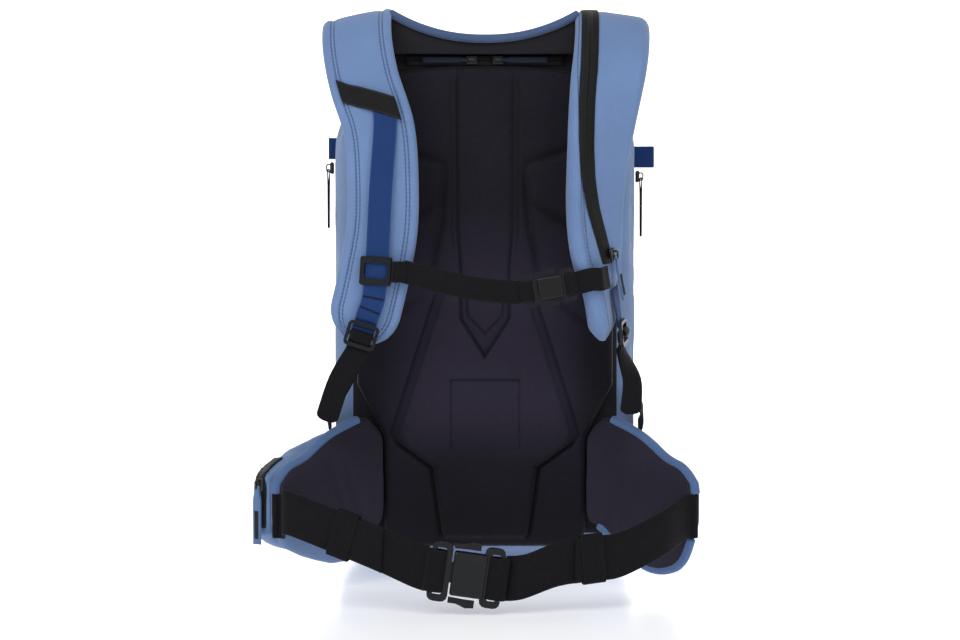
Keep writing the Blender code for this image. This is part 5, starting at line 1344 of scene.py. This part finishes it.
    def zip(self, path: Sequence[Station]) -> None:
        """Zip tape on the face of the strap."""
        low = BAG.height - self.zip_low
        kept = [s for s in path if s.place.z > low + 0.004] + [at_height(path, low)]
        line = [s.at(s.spot(self.zip_across(s.place.z), self.face + 0.0008)) for s in kept]
        bm = tape_along(line, self.zip_width, 0.0012, 0.0003)
        add_piece(bm, "strap_zip_cover", [Finishes.ZIP], "pack", ["strap_zip_tape"])

    def label(self, path: Sequence[Station]) -> None:
        """Bare label patch sewn across the strap."""
        places, ups = [], []
        for t in shares(self.label_steps):
            across = self.label_across[0] + self.label_across[1] * t
            station = at_height(path, self.label_z[0] - self.label_z[1] * t)
            lift = 0.0012 + 0.0026 * ramp(across, -0.014, -0.004)
            places.append(station.spot(across, self.face + lift - self.lying(station, across)))
            ups.append(-station.along)
        line = stations(places, ups, square=False)
        bm = tape_along(line, *self.label_size)
        add_piece(bm, "label_patch", [Finishes.LABEL], "pack")


LEFT_ROWS = (
    (0.0295, -0.0549, -0.0035, 0), (0.0280, -0.0148, -0.0135, 0), (0.0270, 0.0087, -0.0085, 0),
    (0.0291, 0.0289, 0.0170, 0), (0.0361, 0.0422, 0.0495, 0), (0.0498, 0.0500, 0.0919, 0),
    (0.0532, 0.0520, 0.1381, 0), (0.0520, 0.0520, 0.1799, 0), (0.0441, 0.0510, 0.2217, 0),
    (0.0353, 0.0461, 0.2562, 0), (0.0290, 0.0403, 0.2761, 0),
)
RIGHT_ROWS = (
    (0.0295, -0.0551, -0.0008, 0), (0.0295, -0.0155, -0.0040, 0), (0.0300, 0.0064, 0.0028, 0),
    (0.0329, 0.0226, 0.0244, 3), (0.0402, 0.0351, 0.0564, 15), (0.0462, 0.0430, 0.0925, 26),
    (0.0506, 0.0466, 0.1270, 35), (0.0531, 0.0477, 0.1627, 41), (0.0525, 0.0458, 0.2000, 50),
    (0.0506, 0.0422, 0.2354, 73), (0.0477, 0.0387, 0.2626, 76), (0.0468, 0.0369, 0.2762, 77),
)
ZIP_ROWS = (
    (-0.020, 0.0135), (0.010, 0.0135), (0.043, 0.0143), (0.071, 0.0130), (0.108, 0.0130),
    (0.134, 0.0150), (0.160, 0.0210), (0.180, 0.0275), (0.196, 0.0320), (0.230, 0.0375),
)
LEFT_STRAP = ShoulderStrap(Side.LEFT, LEFT_ROWS, 0.0060, slump=0.0135)
RIGHT_STRAP = ShoulderStrap(Side.RIGHT, RIGHT_ROWS, 0.0095, slump=0.006, flare=0.15, zip_rows=ZIP_ROWS)


@dataclass
class StrapAdjuster:
    """Webbing below a shoulder strap: navy down to the ladder lock, black from there to the bag."""

    side: Side
    strap: ShoulderStrap
    tail_rows: Rows
    lower_rows: Rows
    width: float = 0.020
    thickness: float = 0.0016
    loop: float = 0.00336
    pitch: float = 0.00952
    rail_lift: float = 0.0066
    sewn_lift: float = 0.0016
    tail_end: tuple[float, float, float] | None = None
    tail_tip: Rows = ((0.0022, 0.90), (0.0040, 0.66), (0.0048, 0.36))
    tacks: tuple[float, ...] = ()
    lock_tilt: float = math.radians(-17.5)
    hung_rows: Rows = ((0.230, 0.0032), (0.246, 0.0052), (0.258, 0.0077))
    over_bar: Rows = ((-2.4, 0.1), (-1.2, -0.8), (0.0, -1.05), (0.9, -0.8), (1.65, -0.4))
    round_bars: Rows = ((2.4, -1.0), (0.3, -1.0), (-0.7, -0.7), (-1.0, 0.0), (-0.7, 0.7), (0.3, 1.0))
    behind_bar: Rows = ((-1.0, 0.1), (0.1, -0.95), (1.7, -0.6))

    def left_points(self, path: Sequence[Station]) -> list[Vector]:
        """Middle of the left webbing, which is the rail of the sternum slider."""
        rail = self.rail_lift
        rows = ((0.0100, 0.072, self.sewn_lift), (0.0057, 0.090, rail / 2), (-0.0017, 0.1450, rail),
                (0.0040, 0.2280, rail), (0.0032, 0.2585, rail))
        points = []
        for aside, drop, lift in rows:
            at = at_height(path, BAG.height - drop)
            points.append(at.place + Vector((aside, self.strap.lying(at, aside) - self.strap.face - lift, 0)))
        return points

    def lock(self) -> tuple[list[Vector], list[Vector], Station]:
        """Points of the navy webbing, its directions across, and the hinge of the ladder lock."""
        path = self.strap.path(3)
        if self.side is Side.LEFT:
            points, normal = self.left_points(path), -Y_WAY
            across = Vector((math.cos(self.lock_tilt), 0, math.sin(self.lock_tilt)))
            along = across.cross(normal)
            acrosses = [X_WAY.lerp(across, t) for t in (0.0, 0.0, 0.0, 0.35, 1.0)]
            return points, acrosses, Station(points[-1] + along * self.loop, across, along, normal)
        hung = [at_height(path, BAG.height - drop) for drop, _ in self.hung_rows]
        points = [s.spot(0.006, self.strap.face + lift) for s, (_, lift) in zip(hung, self.hung_rows)]
        last = hung[-1]
        return points, [s.across for s in hung], last.at(points[-1] + last.along * self.loop)

    def round_bar(self, lock: Station, drop: float, turns: Rows) -> list[Vector]:
        """Points round a bar of the lock: way along and outwards, in loops' radii."""
        bar = lock.place + lock.along * drop
        return [bar + lock.along * self.loop * a + lock.normal * self.loop * o for a, o in turns]

    def build(self) -> None:
        """Builds the navy webbing, the tail and the lower webbing."""
        word = self.side.word
        points, acrosses, lock = self.lock()
        turn = self.round_bar(lock, 0.0, self.over_bar)
        kept = len(points) - 1
        if self.side is Side.RIGHT:
            kept, turn = 1, turn[1:]
        path = curved([*points[:kept], *turn], [*acrosses[:kept], *[lock.across] * len(turn)], 5)
        tacks = [self.tack(at_height(path, z)) for z in self.tacks]
        bm = merged(tape_along(path, self.width, self.thickness), *tacks)
        add_piece(bm, f"{word}_navy_webbing", [Finishes.NAVY, Finishes.THREAD], "pack",
                  [f"{word}_strap_webbing"])
        held = self.round_bar(lock, self.pitch, self.round_bars)
        held += self.round_bar(lock, 2 * self.pitch, self.behind_bar)
        hung = [lock.place + Vector(row) for row in self.tail_rows]
        end = Vector(self.tail_end) if self.tail_end else lock.across
        acrosses = [lock.across] * len(held) + [lock.across.lerp(end, t) for t in (0.7, 1.0)]
        path = curved([*held, *hung], acrosses, 5)
        end, widths = path[-1], [1.0] * len(path)
        for reach, share in self.tail_tip:
            path.append(end.at(end.place + end.along * reach))
            widths.append(share)
        sections = [tape_section(self.width * share, self.thickness) for share in widths]
        add_piece(sweep(path, sections), f"{word}_loose_tail", [Finishes.BLACK], f"{word}_lock",
                  [f"{word}_webbing_tail"])
        self.lower(lock)

    def tack(self, at: Station) -> Mesh:
        """Row of tack stitches across the webbing."""
        lift = self.thickness / 2 + 0.0001
        places = [at.spot(self.width * (i / 4 - 0.5) * 0.9, lift) for i in range(5)]
        bm = sweep(stations(places, [at.along] * 5), [tape_section(0.0016, 0.0007)] * 5)
        for face in bm.faces:
            face.material_index = 1
        return bm

    def lower(self, lock: Station) -> None:
        """Black webbing from behind the lock to the side of the bag."""
        side, word = self.side.value, self.side.word
        start = lock.spot(0, -0.00576) + lock.along * 2.4 * self.pitch
        anchor = Vector((side * (BAG.side_x + 0.0024), BAG.back_y + 0.042, BAG.height - 0.362))
        places = [start, *bowed(start, anchor, self.side, self.lower_rows), anchor]
        end = Vector((0, 0.8 * side, 0.6 * side))
        acrosses = [lock.across.lerp(end, i / (len(places) - 1)) for i in range(len(places))]
        path = curved(places, acrosses, 6)
        bm = tape_along(path, self.width, self.thickness)
        piece = add_piece(bm, f"{word}_lower_strap", [Finishes.BLACK], None, [f"{word}_lower_webbing"])
        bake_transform(piece)


ADJUSTERS = (
    StrapAdjuster(
        Side.LEFT, LEFT_STRAP, ((-0.0217, -0.0017, -0.0482), (-0.0332, 0.0063, -0.0802)),
        ((0.258, 0.0079, 0.0100, 0.0109), (0.629, 0.0114, 0.0090, 0.0089)), tacks=(0.2620, 0.2515),
    ),
    StrapAdjuster(
        Side.RIGHT, RIGHT_STRAP, ((0.0078, -0.0104, -0.0509), (0.0070, -0.0084, -0.0770)),
        ((0.237, 0.0022, 0.0135, 0.0140), (0.641, 0.0088, 0.0107, 0.0088)), tail_end=(0.95, 0.28, 0.12),
    ),
)


@dataclass
class SternumStrap:
    """Chest strap between the shoulder straps."""

    width: float = 0.020
    thickness: float = 0.0016
    size: float = 0.046
    middle: tuple[float, float, float] = (0.0545, -0.180, 0.2708)
    tilt: float = math.radians(9.5)
    turn_size: Span = (0.0060, 0.0030)
    turn_aside: float = 0.0036
    trim: float = 0.0026
    sag: Rows = ((0.30, 0.003, 0.0022), (0.65, 0.003, 0.0034))

    def build(self) -> None:
        """Builds the two lengths of webbing."""
        across = Vector((math.cos(self.tilt), 0, math.sin(self.tilt)))
        normal = -Y_WAY
        buckle = Station(Vector(self.middle), across, across.cross(normal), normal)
        low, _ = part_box("sternum_webbing_left")
        start = Vector((low.x + 0.0006, -0.1722, 0.2852))
        end = buckle.spot(-0.50 * self.size - 0.0016, 0)
        route = [start, *(start.lerp(end, t) + Vector((0, -out, -drop)) for t, out, drop in self.sag), end]
        ups = [Vector((0.062, -0.0226, 0.9978)).lerp(-buckle.along, i / 3) for i in range(4)]
        path = curved(route, ups, 8)
        bm = tape_along(path, self.width, self.thickness)
        slider = Station(start, X_WAY, -ups[0], -Y_WAY)
        bm = merged(bm, self.turn(slider, -0.0020), self.turn(buckle, self.turn_aside - 0.50 * self.size))
        left = add_piece(bm, "chest_strap_left", [Finishes.BLACK], None, ["sternum_webbing_left"])
        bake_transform(left)
        strap = at_height(RIGHT_STRAP.path(3), self.middle[2] + 0.011)
        out = RIGHT_STRAP.face + 0.0048 + self.thickness
        start = buckle.spot(0.52 * self.size + 0.0016, 0)
        corner = strap.spot(0.0012 - RIGHT_STRAP.half, out + 0.0012)
        anchor = strap.spot(0.0195 - RIGHT_STRAP.half, out)
        bow = start.lerp(corner, 0.6) + Vector((0, -0.0024, 0.0012))
        route = [start, bow, corner, corner.lerp(anchor, 0.5), anchor]
        path = curved(route, [Vector((-0.12, 0, 1))] * len(route), 6)
        bm = tape_along(path, self.width, self.thickness)
        bm = merged(bm, self.turn(buckle, 0.53 * self.size - self.turn_aside))
        add_piece(bm, "chest_strap_right", [Finishes.BLACK], "sternum", ["sternum_webbing_right"])

    def turn(self, bar: Station, aside: float) -> Mesh:
        """Turn of webbing to one side of a place."""
        section = tape_section(self.width - self.trim, self.thickness)
        return webbing_turn(bar.at(bar.spot(aside, 0)), 0.0, self.turn_size, section)


@dataclass
class HipBelt:
    """Hip belt: two bound fins, a pocket on the left one, the webbing and its keepers."""

    thickness: float = 0.014
    root: tuple[float, float, float] = (0.0032, 0.058, 0.137)
    rows: Rows = (
        (0.0170, 0.006, 0.050, 0.153), (0.0350, 0.019, 0.033, 0.147), (0.0530, 0.032, 0.020, 0.136),
        (0.0690, 0.049, 0.020, 0.121), (0.0815, 0.065, 0.031, 0.114), (0.0895, 0.0765, 0.060, 0.102),
    )
    pocket_rows: Rows = (
        (0.050, 0.146, 0.50), (0.038, 0.140, 0.80), (0.032, 0.129, 0.93),
        (0.037, 0.118, 0.92), (0.046, 0.110, 0.72), (0.056, 0.106, 0.36),
    )
    bulge: float = 0.041
    right_belt: Rows = (
        (0.178, 0.0066, 0.0136, 0.0025), (0.428, 0.0090, 0.0161, 0.0072), (0.581, 0.0076, 0.0159, 0.0029),
        (0.742, 0.0054, 0.0133, -0.0009), (0.920, 0.0044, 0.0095, 0.0011),
    )
    left_belt: Rows = (
        (0.060, 0.0043, 0.0113, -0.0080), (0.352, 0.0034, 0.0090, -0.0063), (0.655, 0.0013, 0.0040, -0.0034),
        (0.895, 0.0007, 0.0013, -0.0002),
    )
    folds: tuple[float, ...] = (0.1210, 0.1330)
    fold_deep: float = 0.0020
    crease: Span = (0.0034, 0.0030)
    rim: float = 0.0022
    fin_steps: int = 16
    pocket_steps: int = 24
    pocket_square: float = 0.62
    pocket_zip: Span = (0.011, 0.0012)
    pocket_edge: float = 0.112
    keeper_steps: int = 40
    keeper_size: Span = (0.020, 0.0011)
    keepers: tuple[int, int] = (33, 39)
    doubled: tuple[slice, slice] = (slice(34, 42), slice(36, 45))
    bars: Span = (-0.4725, 0.4925)
    turn_size: Span = (0.0084, 0.0046)
    turn_aside: float = 0.0034
    trim: float = 0.0026
    wrap: Rows = ((-0.0042, -0.009), (-0.0038, -0.001), (0.0, 0.0028), (0.0040, -0.001))
    webbing_width: float = 0.038
    webbing: float = 0.0018
    size: float = 0.060
    buckle: tuple[float, float, float] = (-0.0165, -0.250, 0.0340)
    tilt: float = math.radians(-8.0)
    binding: Span = (0.0042, 0.0044)
    pocket_low: Rows = (
        (0.095, 0.058), (0.109, 0.042), (0.122, 0.0240), (0.138, 0.0228), (0.150, 0.0270), (0.163, 0.0335),
        (0.176, 0.0430), (0.1815, 0.0600),
    )

    def fin_rows(self, steps: int) -> list[list[float]]:
        """Smooth rows of a fin: place out and forward, lower and upper edge."""
        rows = [(self.root[0] + 0.092, BAG.back_y - self.thickness / 2, *self.root[1:])]
        rows += [(0.092 + reach, BAG.face_y - out, low, high) for reach, out, low, high in self.rows]
        return smooth(rows, steps)

    def fin_path(self, steps: int) -> list[Station]:
        """Stations along the right fin."""
        places = [Vector((x, y, 0)) for x, y, _, _ in self.fin_rows(steps)]
        return straight(places, Z_WAY)

    def section(self, low: float, high: float, at: float) -> Section:
        """Section of a fin between its edges, thin at the rims and with soft folds."""
        face, rim = self.thickness / 2, self.rim
        deep, wide = self.crease
        inner, outer = [], []
        for t in shares(self.fin_steps):
            z = low + (high - low) * t
            full = min(1.0, math.sqrt(max(0.0, 4 * t * (1 - t))) * 1.25)
            fold = self.fold_deep * noise.fractal(Vector((at * 38 - z * 22, 2.3, z * 7)), 0.9, 2.0, 2) * full
            for place in self.folds:
                off = at - place - (z - 0.090) * 0.32
                fold -= deep * math.exp(-(off / wide) ** 2) * full * (1 - ramp(z, 0.095, 0.125))
            inner.append((z, rim + (face - rim) * full + fold))
            outer.append((z, -rim - (face - rim) * full))
        return inner + outer[::-1]

    def build(self) -> None:
        """Builds the belt."""
        for side in Side:
            self.fin(side)
        self.pocket()
        self.belts()

    def mirror(self, bm: Mesh, side: Side) -> Mesh:
        """Turns a piece of the right side into one of the left side."""
        if side is Side.LEFT:
            bmesh.ops.scale(bm, vec=(-1, 1, 1), verts=bm.verts)
            bmesh.ops.recalc_face_normals(bm, faces=bm.faces)
        return bm

    def fin(self, side: Side) -> None:
        """Padded fin, dark towards the wearer, with its bound edge."""
        rows, path = self.fin_rows(6), self.fin_path(6)
        if side is Side.LEFT:
            rows = [[x, y, between(x, self.pocket_low), high] for x, y, _, high in rows]
        bm = sweep(path, [self.section(low, high, x) for x, _, low, high in rows])
        word = side.word
        for face in bm.faces:
            middle = face.calc_center_median()
            flat = Vector((middle.x, middle.y, 0))
            nearest = sorted(range(len(path)), key=lambda i: (path[i].place - flat).length)[:2]
            low, high = (sum(rows[i][column] for i in nearest) / 2 for column in (2, 3))
            near = path[nearest[0]]
            outer = (middle - near.place).dot(near.normal) < -0.0012
            pocketed = side is Side.LEFT and middle.x > self.pocket_edge
            below = pocketed and middle.z < low + (high - low) * 3 / self.fin_steps
            if outer or below:
                face.material_index = 1
        add_piece(self.mirror(bm, side), f"{word}_fin_pad", [Finishes.FIN, Finishes.SHELL], "pack",
                  [f"{word}_hip_fin"], levels=1)
        wide, high = self.binding
        rim = [s.spot(row[3] - 0.0012, 0) for s, row in zip(path, rows)]
        low = [s.spot(row[2] + 0.0012, 0) for s, row in zip(path, rows)]
        end = path[-1]
        tip = end.spot(rows[-1][3] - 0.0105, 0) + end.along * 0.002
        lines = [[*rim[8:-1:3], rim[-1], tip]]
        if side is Side.RIGHT:
            lines.append(low[-3:1:-3])
        edges = []
        for line in lines:
            around = curved(line, [end.normal] * len(line), 4)
            edges.append(sweep(around, [oval_section(high, wide, 12)] * len(around)))
        edge = merged(*edges)
        add_piece(self.mirror(edge, side), f"{word}_fin_binding", [Finishes.BINDING], "pack", levels=1)

    def pocket(self) -> None:
        """Pocket that swells from the outer side of the left fin, and the zip along its top."""
        inner = -self.thickness / 2 - 0.0006
        rows = smooth(self.pocket_rows, 6)
        path = self.fin_path(6)[6:]
        sections = []
        for i, (low, high, share) in enumerate(rows):
            deep = self.bulge * share
            points = []
            for j in range(self.pocket_steps):
                turn = math.tau * j / self.pocket_steps
                c, s = math.cos(turn), math.sin(turn)
                z = (low + high) / 2 + (high - low) / 2 * squarer(c, self.pocket_square)
                y = inner - deep / 2 + deep / 2 * squarer(s, self.pocket_square)
                fold = noise.fractal(Vector((i * 0.33, z * 30, y * 30)), 0.9, 2.0, 2)
                points.append((z, y - 0.0016 * fold * max(0.0, -s)))
            sections.append(points)
        bm = self.mirror(sweep(path, sections), Side.LEFT)
        pocket = add_piece(bm, "hip_pocket_cloth", [Finishes.POCKET], "pack", ["hip_pocket"])
        line, count = [], len(rows)
        for i in range(count * 6 // 10, count - 2):
            _, high, share = rows[i]
            line.append(path[i].spot(high - 0.004 * (1 - i / count), inner - self.bulge * share * 0.62))
        travel = Vector(joint_of("hip_pocket_zip_slide")["axis"])
        slider = sum(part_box("hip_pocket_slider"), Vector()) / 2
        line = [Vector((-p.x, p.y, p.z + 0.0008)) for p in line[:-4:2]]
        line += [slider + travel * reach for reach in (0.0, 0.018, 0.038)]
        places = smooth_places(line, 4)
        fill_out(pocket, 0.004, 0.005, lambda at: ramp(min((at - p).length for p in places), 0.010, 0.026))
        cloth = BVHTree.FromObject(pocket, bpy.context.evaluated_depsgraph_get())
        outs = [cloth.find_nearest(place)[:2] for place in places]
        places = [near + out * 0.0009 for near, out in outs]
        ways = [places[min(i + 1, len(places) - 1)] - places[max(i - 1, 0)] for i in range(len(places))]
        zip_path = stations(places, [out.cross(way).normalized() for (_, out), way in zip(outs, ways)])
        tape = tape_along(zip_path, *self.pocket_zip)
        add_piece(tape, "hip_pocket_zip", [Finishes.ZIP], "pack")

    def buckle_station(self) -> Station:
        """Middle of the hip buckle."""
        across, normal = Vector((math.cos(self.tilt), 0, math.sin(self.tilt))), -Y_WAY
        return Station(Vector(self.buckle), across, across.cross(normal), normal)

    def belt_path(self, side: Side, end: Vector) -> list[Station]:
        """Stations of the belt webbing from the tip of a fin to the buckle."""
        fin = self.fin_path(1)[-2]
        low, high = self.rows[-2][2:]
        out = self.thickness / 2 + 0.0024 + self.webbing / 2
        start = fin.spot((low + high) / 2, out) + fin.along * 8 * self.webbing
        start.x *= side.value
        rows = side.pick(self.left_belt, self.right_belt)
        bow = bowed(start, end, side, rows)
        tip = self.fin_path(1)[-1]
        wrap = [tip.spot((low + high) / 2, lift) + tip.along * reach for lift, reach in self.wrap]
        wrap = [Vector((side.value * p.x, p.y, p.z)) for p in wrap]
        places = smooth_places(wrap, 4)[:-1] + smooth_places([start, *bow, end], 9)
        level, tilted = Z_WAY, Vector((-math.sin(self.tilt), 0, math.cos(self.tilt)))
        last = len(places) - 1
        ups = [level.lerp(tilted, max(0.0, 2 * (i - 12) / (last - 12) - 1)) for i in range(len(places))]
        return stations(places, ups, square=False)

    def belts(self) -> None:
        """Belt webbing on both sides, the turn in the buckle and the keepers."""
        buckle, size = self.buckle_station(), self.size
        male, female = (share * size for share in self.bars)
        ends = {Side.LEFT: buckle.spot(male - 0.0700 * size, -0.05 * size),
                Side.RIGHT: buckle.spot(female + 0.0425 * size, -0.1033 * size)}
        for side in Side:
            path = self.belt_path(side, ends[side])
            word, out = side.word, -side.value
            fold = [s.at(s.spot(0, out * 0.0024)) for s in path[side.pick(*self.doubled)]]
            bm = merged(tape_along(path, self.webbing_width, self.webbing),
                        tape_along(fold, self.webbing_width * 0.98, self.webbing))
            if side is Side.RIGHT:
                bm = merged(bm, self.turn(buckle, female))
            piece = add_piece(bm, f"{word}_belt_webbing", [Finishes.BLACK],
                              "pack" if side is Side.RIGHT else None, [f"{word}_hip_webbing"])
            if side is Side.LEFT:
                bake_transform(piece)
            squared = stations([s.place for s in path], [s.across for s in path])
            self.keeper(word, squared[side.pick(*self.keepers)])
        ring = self.turn(buckle, male)
        add_piece(ring, "buckle_webbing_turn", [Finishes.BLACK], "hip_male", ["hip_webbing_turn"])

    def turn(self, buckle: Station, at: float) -> Mesh:
        """Turn of webbing round a bar of the buckle."""
        section = tape_section(self.webbing_width - self.trim, self.webbing)
        bar = buckle.at(buckle.spot(at, 0))
        return webbing_turn(bar, -math.copysign(self.turn_aside, at), self.turn_size, section)

    def keeper(self, word: str, at: Station) -> None:
        """Elastic band round the doubled webbing."""
        wide, deep = self.webbing_width / 2 + 0.0014, self.webbing / 2 + 0.0028
        ring = []
        for i in range(self.keeper_steps):
            turn = math.tau * i / self.keeper_steps
            ring.append((wide * squarer(math.cos(turn), 0.25), deep * squarer(math.sin(turn), 0.5)))
        path = []
        for i, (x, y) in enumerate(ring):
            (ax, ay), (bx, by) = ring[i - 1], ring[(i + 1) % self.keeper_steps]
            out = at.across * (by - ay) - at.normal * (bx - ax)
            path.append(Station(at.spot(x, y), at.along, Vector(), out.normalized()))
        bm = sweep(path, [tape_section(*self.keeper_size)] * len(path), Ends.JOINED)
        add_piece(bm, f"{word}_elastic_keeper", [Finishes.BLACK], "pack", [f"{word}_belt_keeper"])


@dataclass
class ZipPull:
    """Pull tape that hangs from the bail of a zip slider."""

    node: str
    body: str
    hang: tuple[float, float, float]
    length: float
    finish: Finish
    grip: bool = False
    width: float = 0.0086
    fold: Rows = ((1.0, 0.0004), (0.6, 0.0005), (0.25, 0.0006), (0.10, 0.0009), (0.02, 0.0009))
    grip_spots: tuple[float, ...] = (0.42, 0.5, 0.6, 0.7, 0.8, 0.9)

    def build(self) -> None:
        """Builds the folded tape and its grip."""
        joint = joint_of(f"{self.body}_swing")
        across, hinge = -Vector(joint["axis"]).normalized(), Vector(joint["pos_m"])
        along = Vector(self.hang)
        along = (along - across * along.dot(across)).normalized()
        normal = along.cross(across)
        rows = [*((t, -out) for t, out in self.fold), (-0.015, 0.0), *reversed(self.fold)]
        places = [hinge + along * self.length * t + normal * out for t, out in rows]
        path = curved(places, [across] * len(places), 4)
        widths = [self.width * (0.62 + 0.38 * ramp((s.place - hinge).dot(along), 0.004, 0.012)) for s in path]
        bm = sweep(path, [tape_section(width, 0.0008) for width in widths])
        add_piece(bm, f"{self.node}_tape", [self.finish], self.body, [self.node])
        if self.grip:
            places = [hinge + along * self.length * t + normal * 0.0011 for t in self.grip_spots]
            bm = tape_along(straight(places, across), 0.0044, 0.0008, 0.0002)
            add_piece(bm, f"{self.node}_grip", [Finishes.RUBBER], self.body)


PULLS = (
    ZipPull("strap_zip_pull", "strap_pull", (0.05, 0, -1), 0.040, Finishes.PULL, True),
    ZipPull("back_zip_pull_left", "back_pull_left", (-1, 0, 0), 0.043, Finishes.DARK_PULL, width=0.0052),
    ZipPull("back_zip_pull_right", "back_pull_right", (1, 0, 0), 0.043, Finishes.DARK_PULL, width=0.0052),
    ZipPull("side_zip_pull_left", "side_pull_left", (0, 0, -1), 0.055, Finishes.DARK_PULL),
    ZipPull("side_zip_pull_right", "side_pull_right", (0, 0, -1), 0.055, Finishes.DARK_PULL),
    ZipPull("front_zip_pull", "front_pull", (0, 0.096, -0.995), 0.050, Finishes.PULL, True),
    ZipPull("hip_pocket_pull", "hip_pull", (0, 0, -1), 0.050, Finishes.PULL, True),
)


@dataclass
class InflationSystem:
    """What fires and fills the airbag, inside the bag."""

    width: float = 0.224
    low: float = 0.437
    high: float = 0.492
    back: float = -0.018
    front: float = 0.034
    layers: int = 9

    def build(self) -> None:
        """Builds the folded airbag in layers."""
        points = []
        for i in range(self.layers):
            z = self.low + (self.high - self.low) * i / (self.layers - 1)
            ends = (self.back, self.front) if i % 2 == 0 else (self.front, self.back)
            points += [Vector((0, ends[0], z)), Vector((0, sum(ends) / 2, z)), Vector((0, ends[1], z))]
        path = curved(points, [X_WAY] * len(points), 4)
        bm = tape_along(path, self.width, 0.0030)
        add_piece(bm, "airbag_folds", [Finishes.BLADDER], "pack", ["folded_airbag"])


RIGID = {
    Finishes.PLASTIC: ("left_ladder_lock", "right_ladder_lock", "sternum_slider", "sternum_buckle_male",
                       "sternum_buckle_female", "sternum_release_tab_upper", "sternum_release_tab_lower",
                       "hip_buckle_male", "hip_buckle_female", "hip_release_tab_upper",
                       "hip_release_tab_lower"),
    Finishes.ZIP_METAL: ("strap_zip_slider", "back_zip_slider_left", "back_zip_slider_right",
                         "side_zip_slider_left", "side_zip_slider_right", "front_zip_slider",
                         "hip_pocket_slider"),
    Finishes.FRAME: ("frame_sheet", "air_ejector"),
    Finishes.CYLINDER: ("gas_cylinder",),
    Finishes.VALVE: ("valve_head", "firing_plunger"),
    Finishes.HANDLE: ("trigger_handle",),
    Finishes.SHEATH: ("trigger_cable",),
}


def dress_rigid() -> None:
    """Gives the rigid CAD nodes their finishes."""
    for finish, names in RIGID.items():
        for name in names:
            mesh = frame["nodes"][name].data
            mesh.materials.clear()
            mesh.materials.append(finish.material())
            LOG.info("%s dressed in %s", name, finish.name)


# Studio


@dataclass
class Studio:
    """Pale floor, soft light and the camera of the photograph."""

    place: tuple[float, float, float] = (-0.0045, -1.700, 0.276)
    pitch: float = math.radians(1.24)
    lens: float = 65.9
    sky: float = 0.20
    reach: float = 6.0
    aim: tuple[float, float, float] = (0.0, -0.05, 0.25)

    def build(self) -> None:
        """Builds the camera, the floor and the lights."""
        scene = bpy.context.scene
        scene.view_settings.view_transform = "Standard"
        lens = bpy.data.cameras.new("camera")
        lens.lens, lens.sensor_width = self.lens, 36.0
        camera = linked("camera", lens)
        camera.location = self.place
        camera.rotation_euler = (math.pi / 2 - self.pitch, 0, 0)
        scene.camera = camera
        self.floor()
        self.lights()

    def floor(self) -> None:
        """Floor, and the paper that stands behind it."""
        for finish, turn in ((Finishes.FLOOR, 0.0), (Finishes.BACKDROP, math.pi / 2)):
            bm = bmesh.new()
            lie = Matrix.Translation((0, self.reach * turn / math.pi, 0)) @ Matrix.Rotation(turn, 4, "X")
            bmesh.ops.create_grid(bm, x_segments=2, y_segments=2, size=self.reach, matrix=lie)
            mesh = bpy.data.meshes.new(finish.name)
            bm.to_mesh(mesh)
            bm.free()
            mesh.materials.append(finish.material())
            linked(finish.name, mesh)

    def lights(self) -> None:
        """Even sky and three soft lamps."""
        world = bpy.data.worlds.new("studio_sky")
        world.use_nodes = True
        sky = world.node_tree.nodes["Background"]
        sky.inputs["Color"].default_value = (1.0, 1.0, 1.0, 1.0)
        sky.inputs["Strength"].default_value = self.sky
        bpy.context.scene.world = world
        for name, place, size, power in (
            ("key", (-1.1, -1.9, 1.5), 1.2, 18.0), ("fill", (1.3, -1.9, 1.1), 1.4, 9.0),
            ("top", (0.0, -1.3, 2.0), 1.6, 14.0),
        ):
            lamp = bpy.data.lights.new(name, "AREA")
            lamp.size, lamp.energy = size, power
            obj = linked(name, lamp)
            obj.location = place
            way = Vector(self.aim) - Vector(place)
            obj.rotation_euler = way.to_track_quat("-Z", "Y").to_euler()


def main() -> None:
    """Builds the dressed backpack."""
    logging.basicConfig(level=logging.INFO, format="%(message)s")
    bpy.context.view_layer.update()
    pieces = (Studio(), Bag(), BackPanel(), NeckYoke(), LEFT_STRAP, RIGHT_STRAP, *ADJUSTERS, SternumStrap(),
              HipBelt(), *PULLS, InflationSystem())
    for piece in pieces:
        piece.build()
    dress_rigid()


if __name__ == "__main__":
    main()
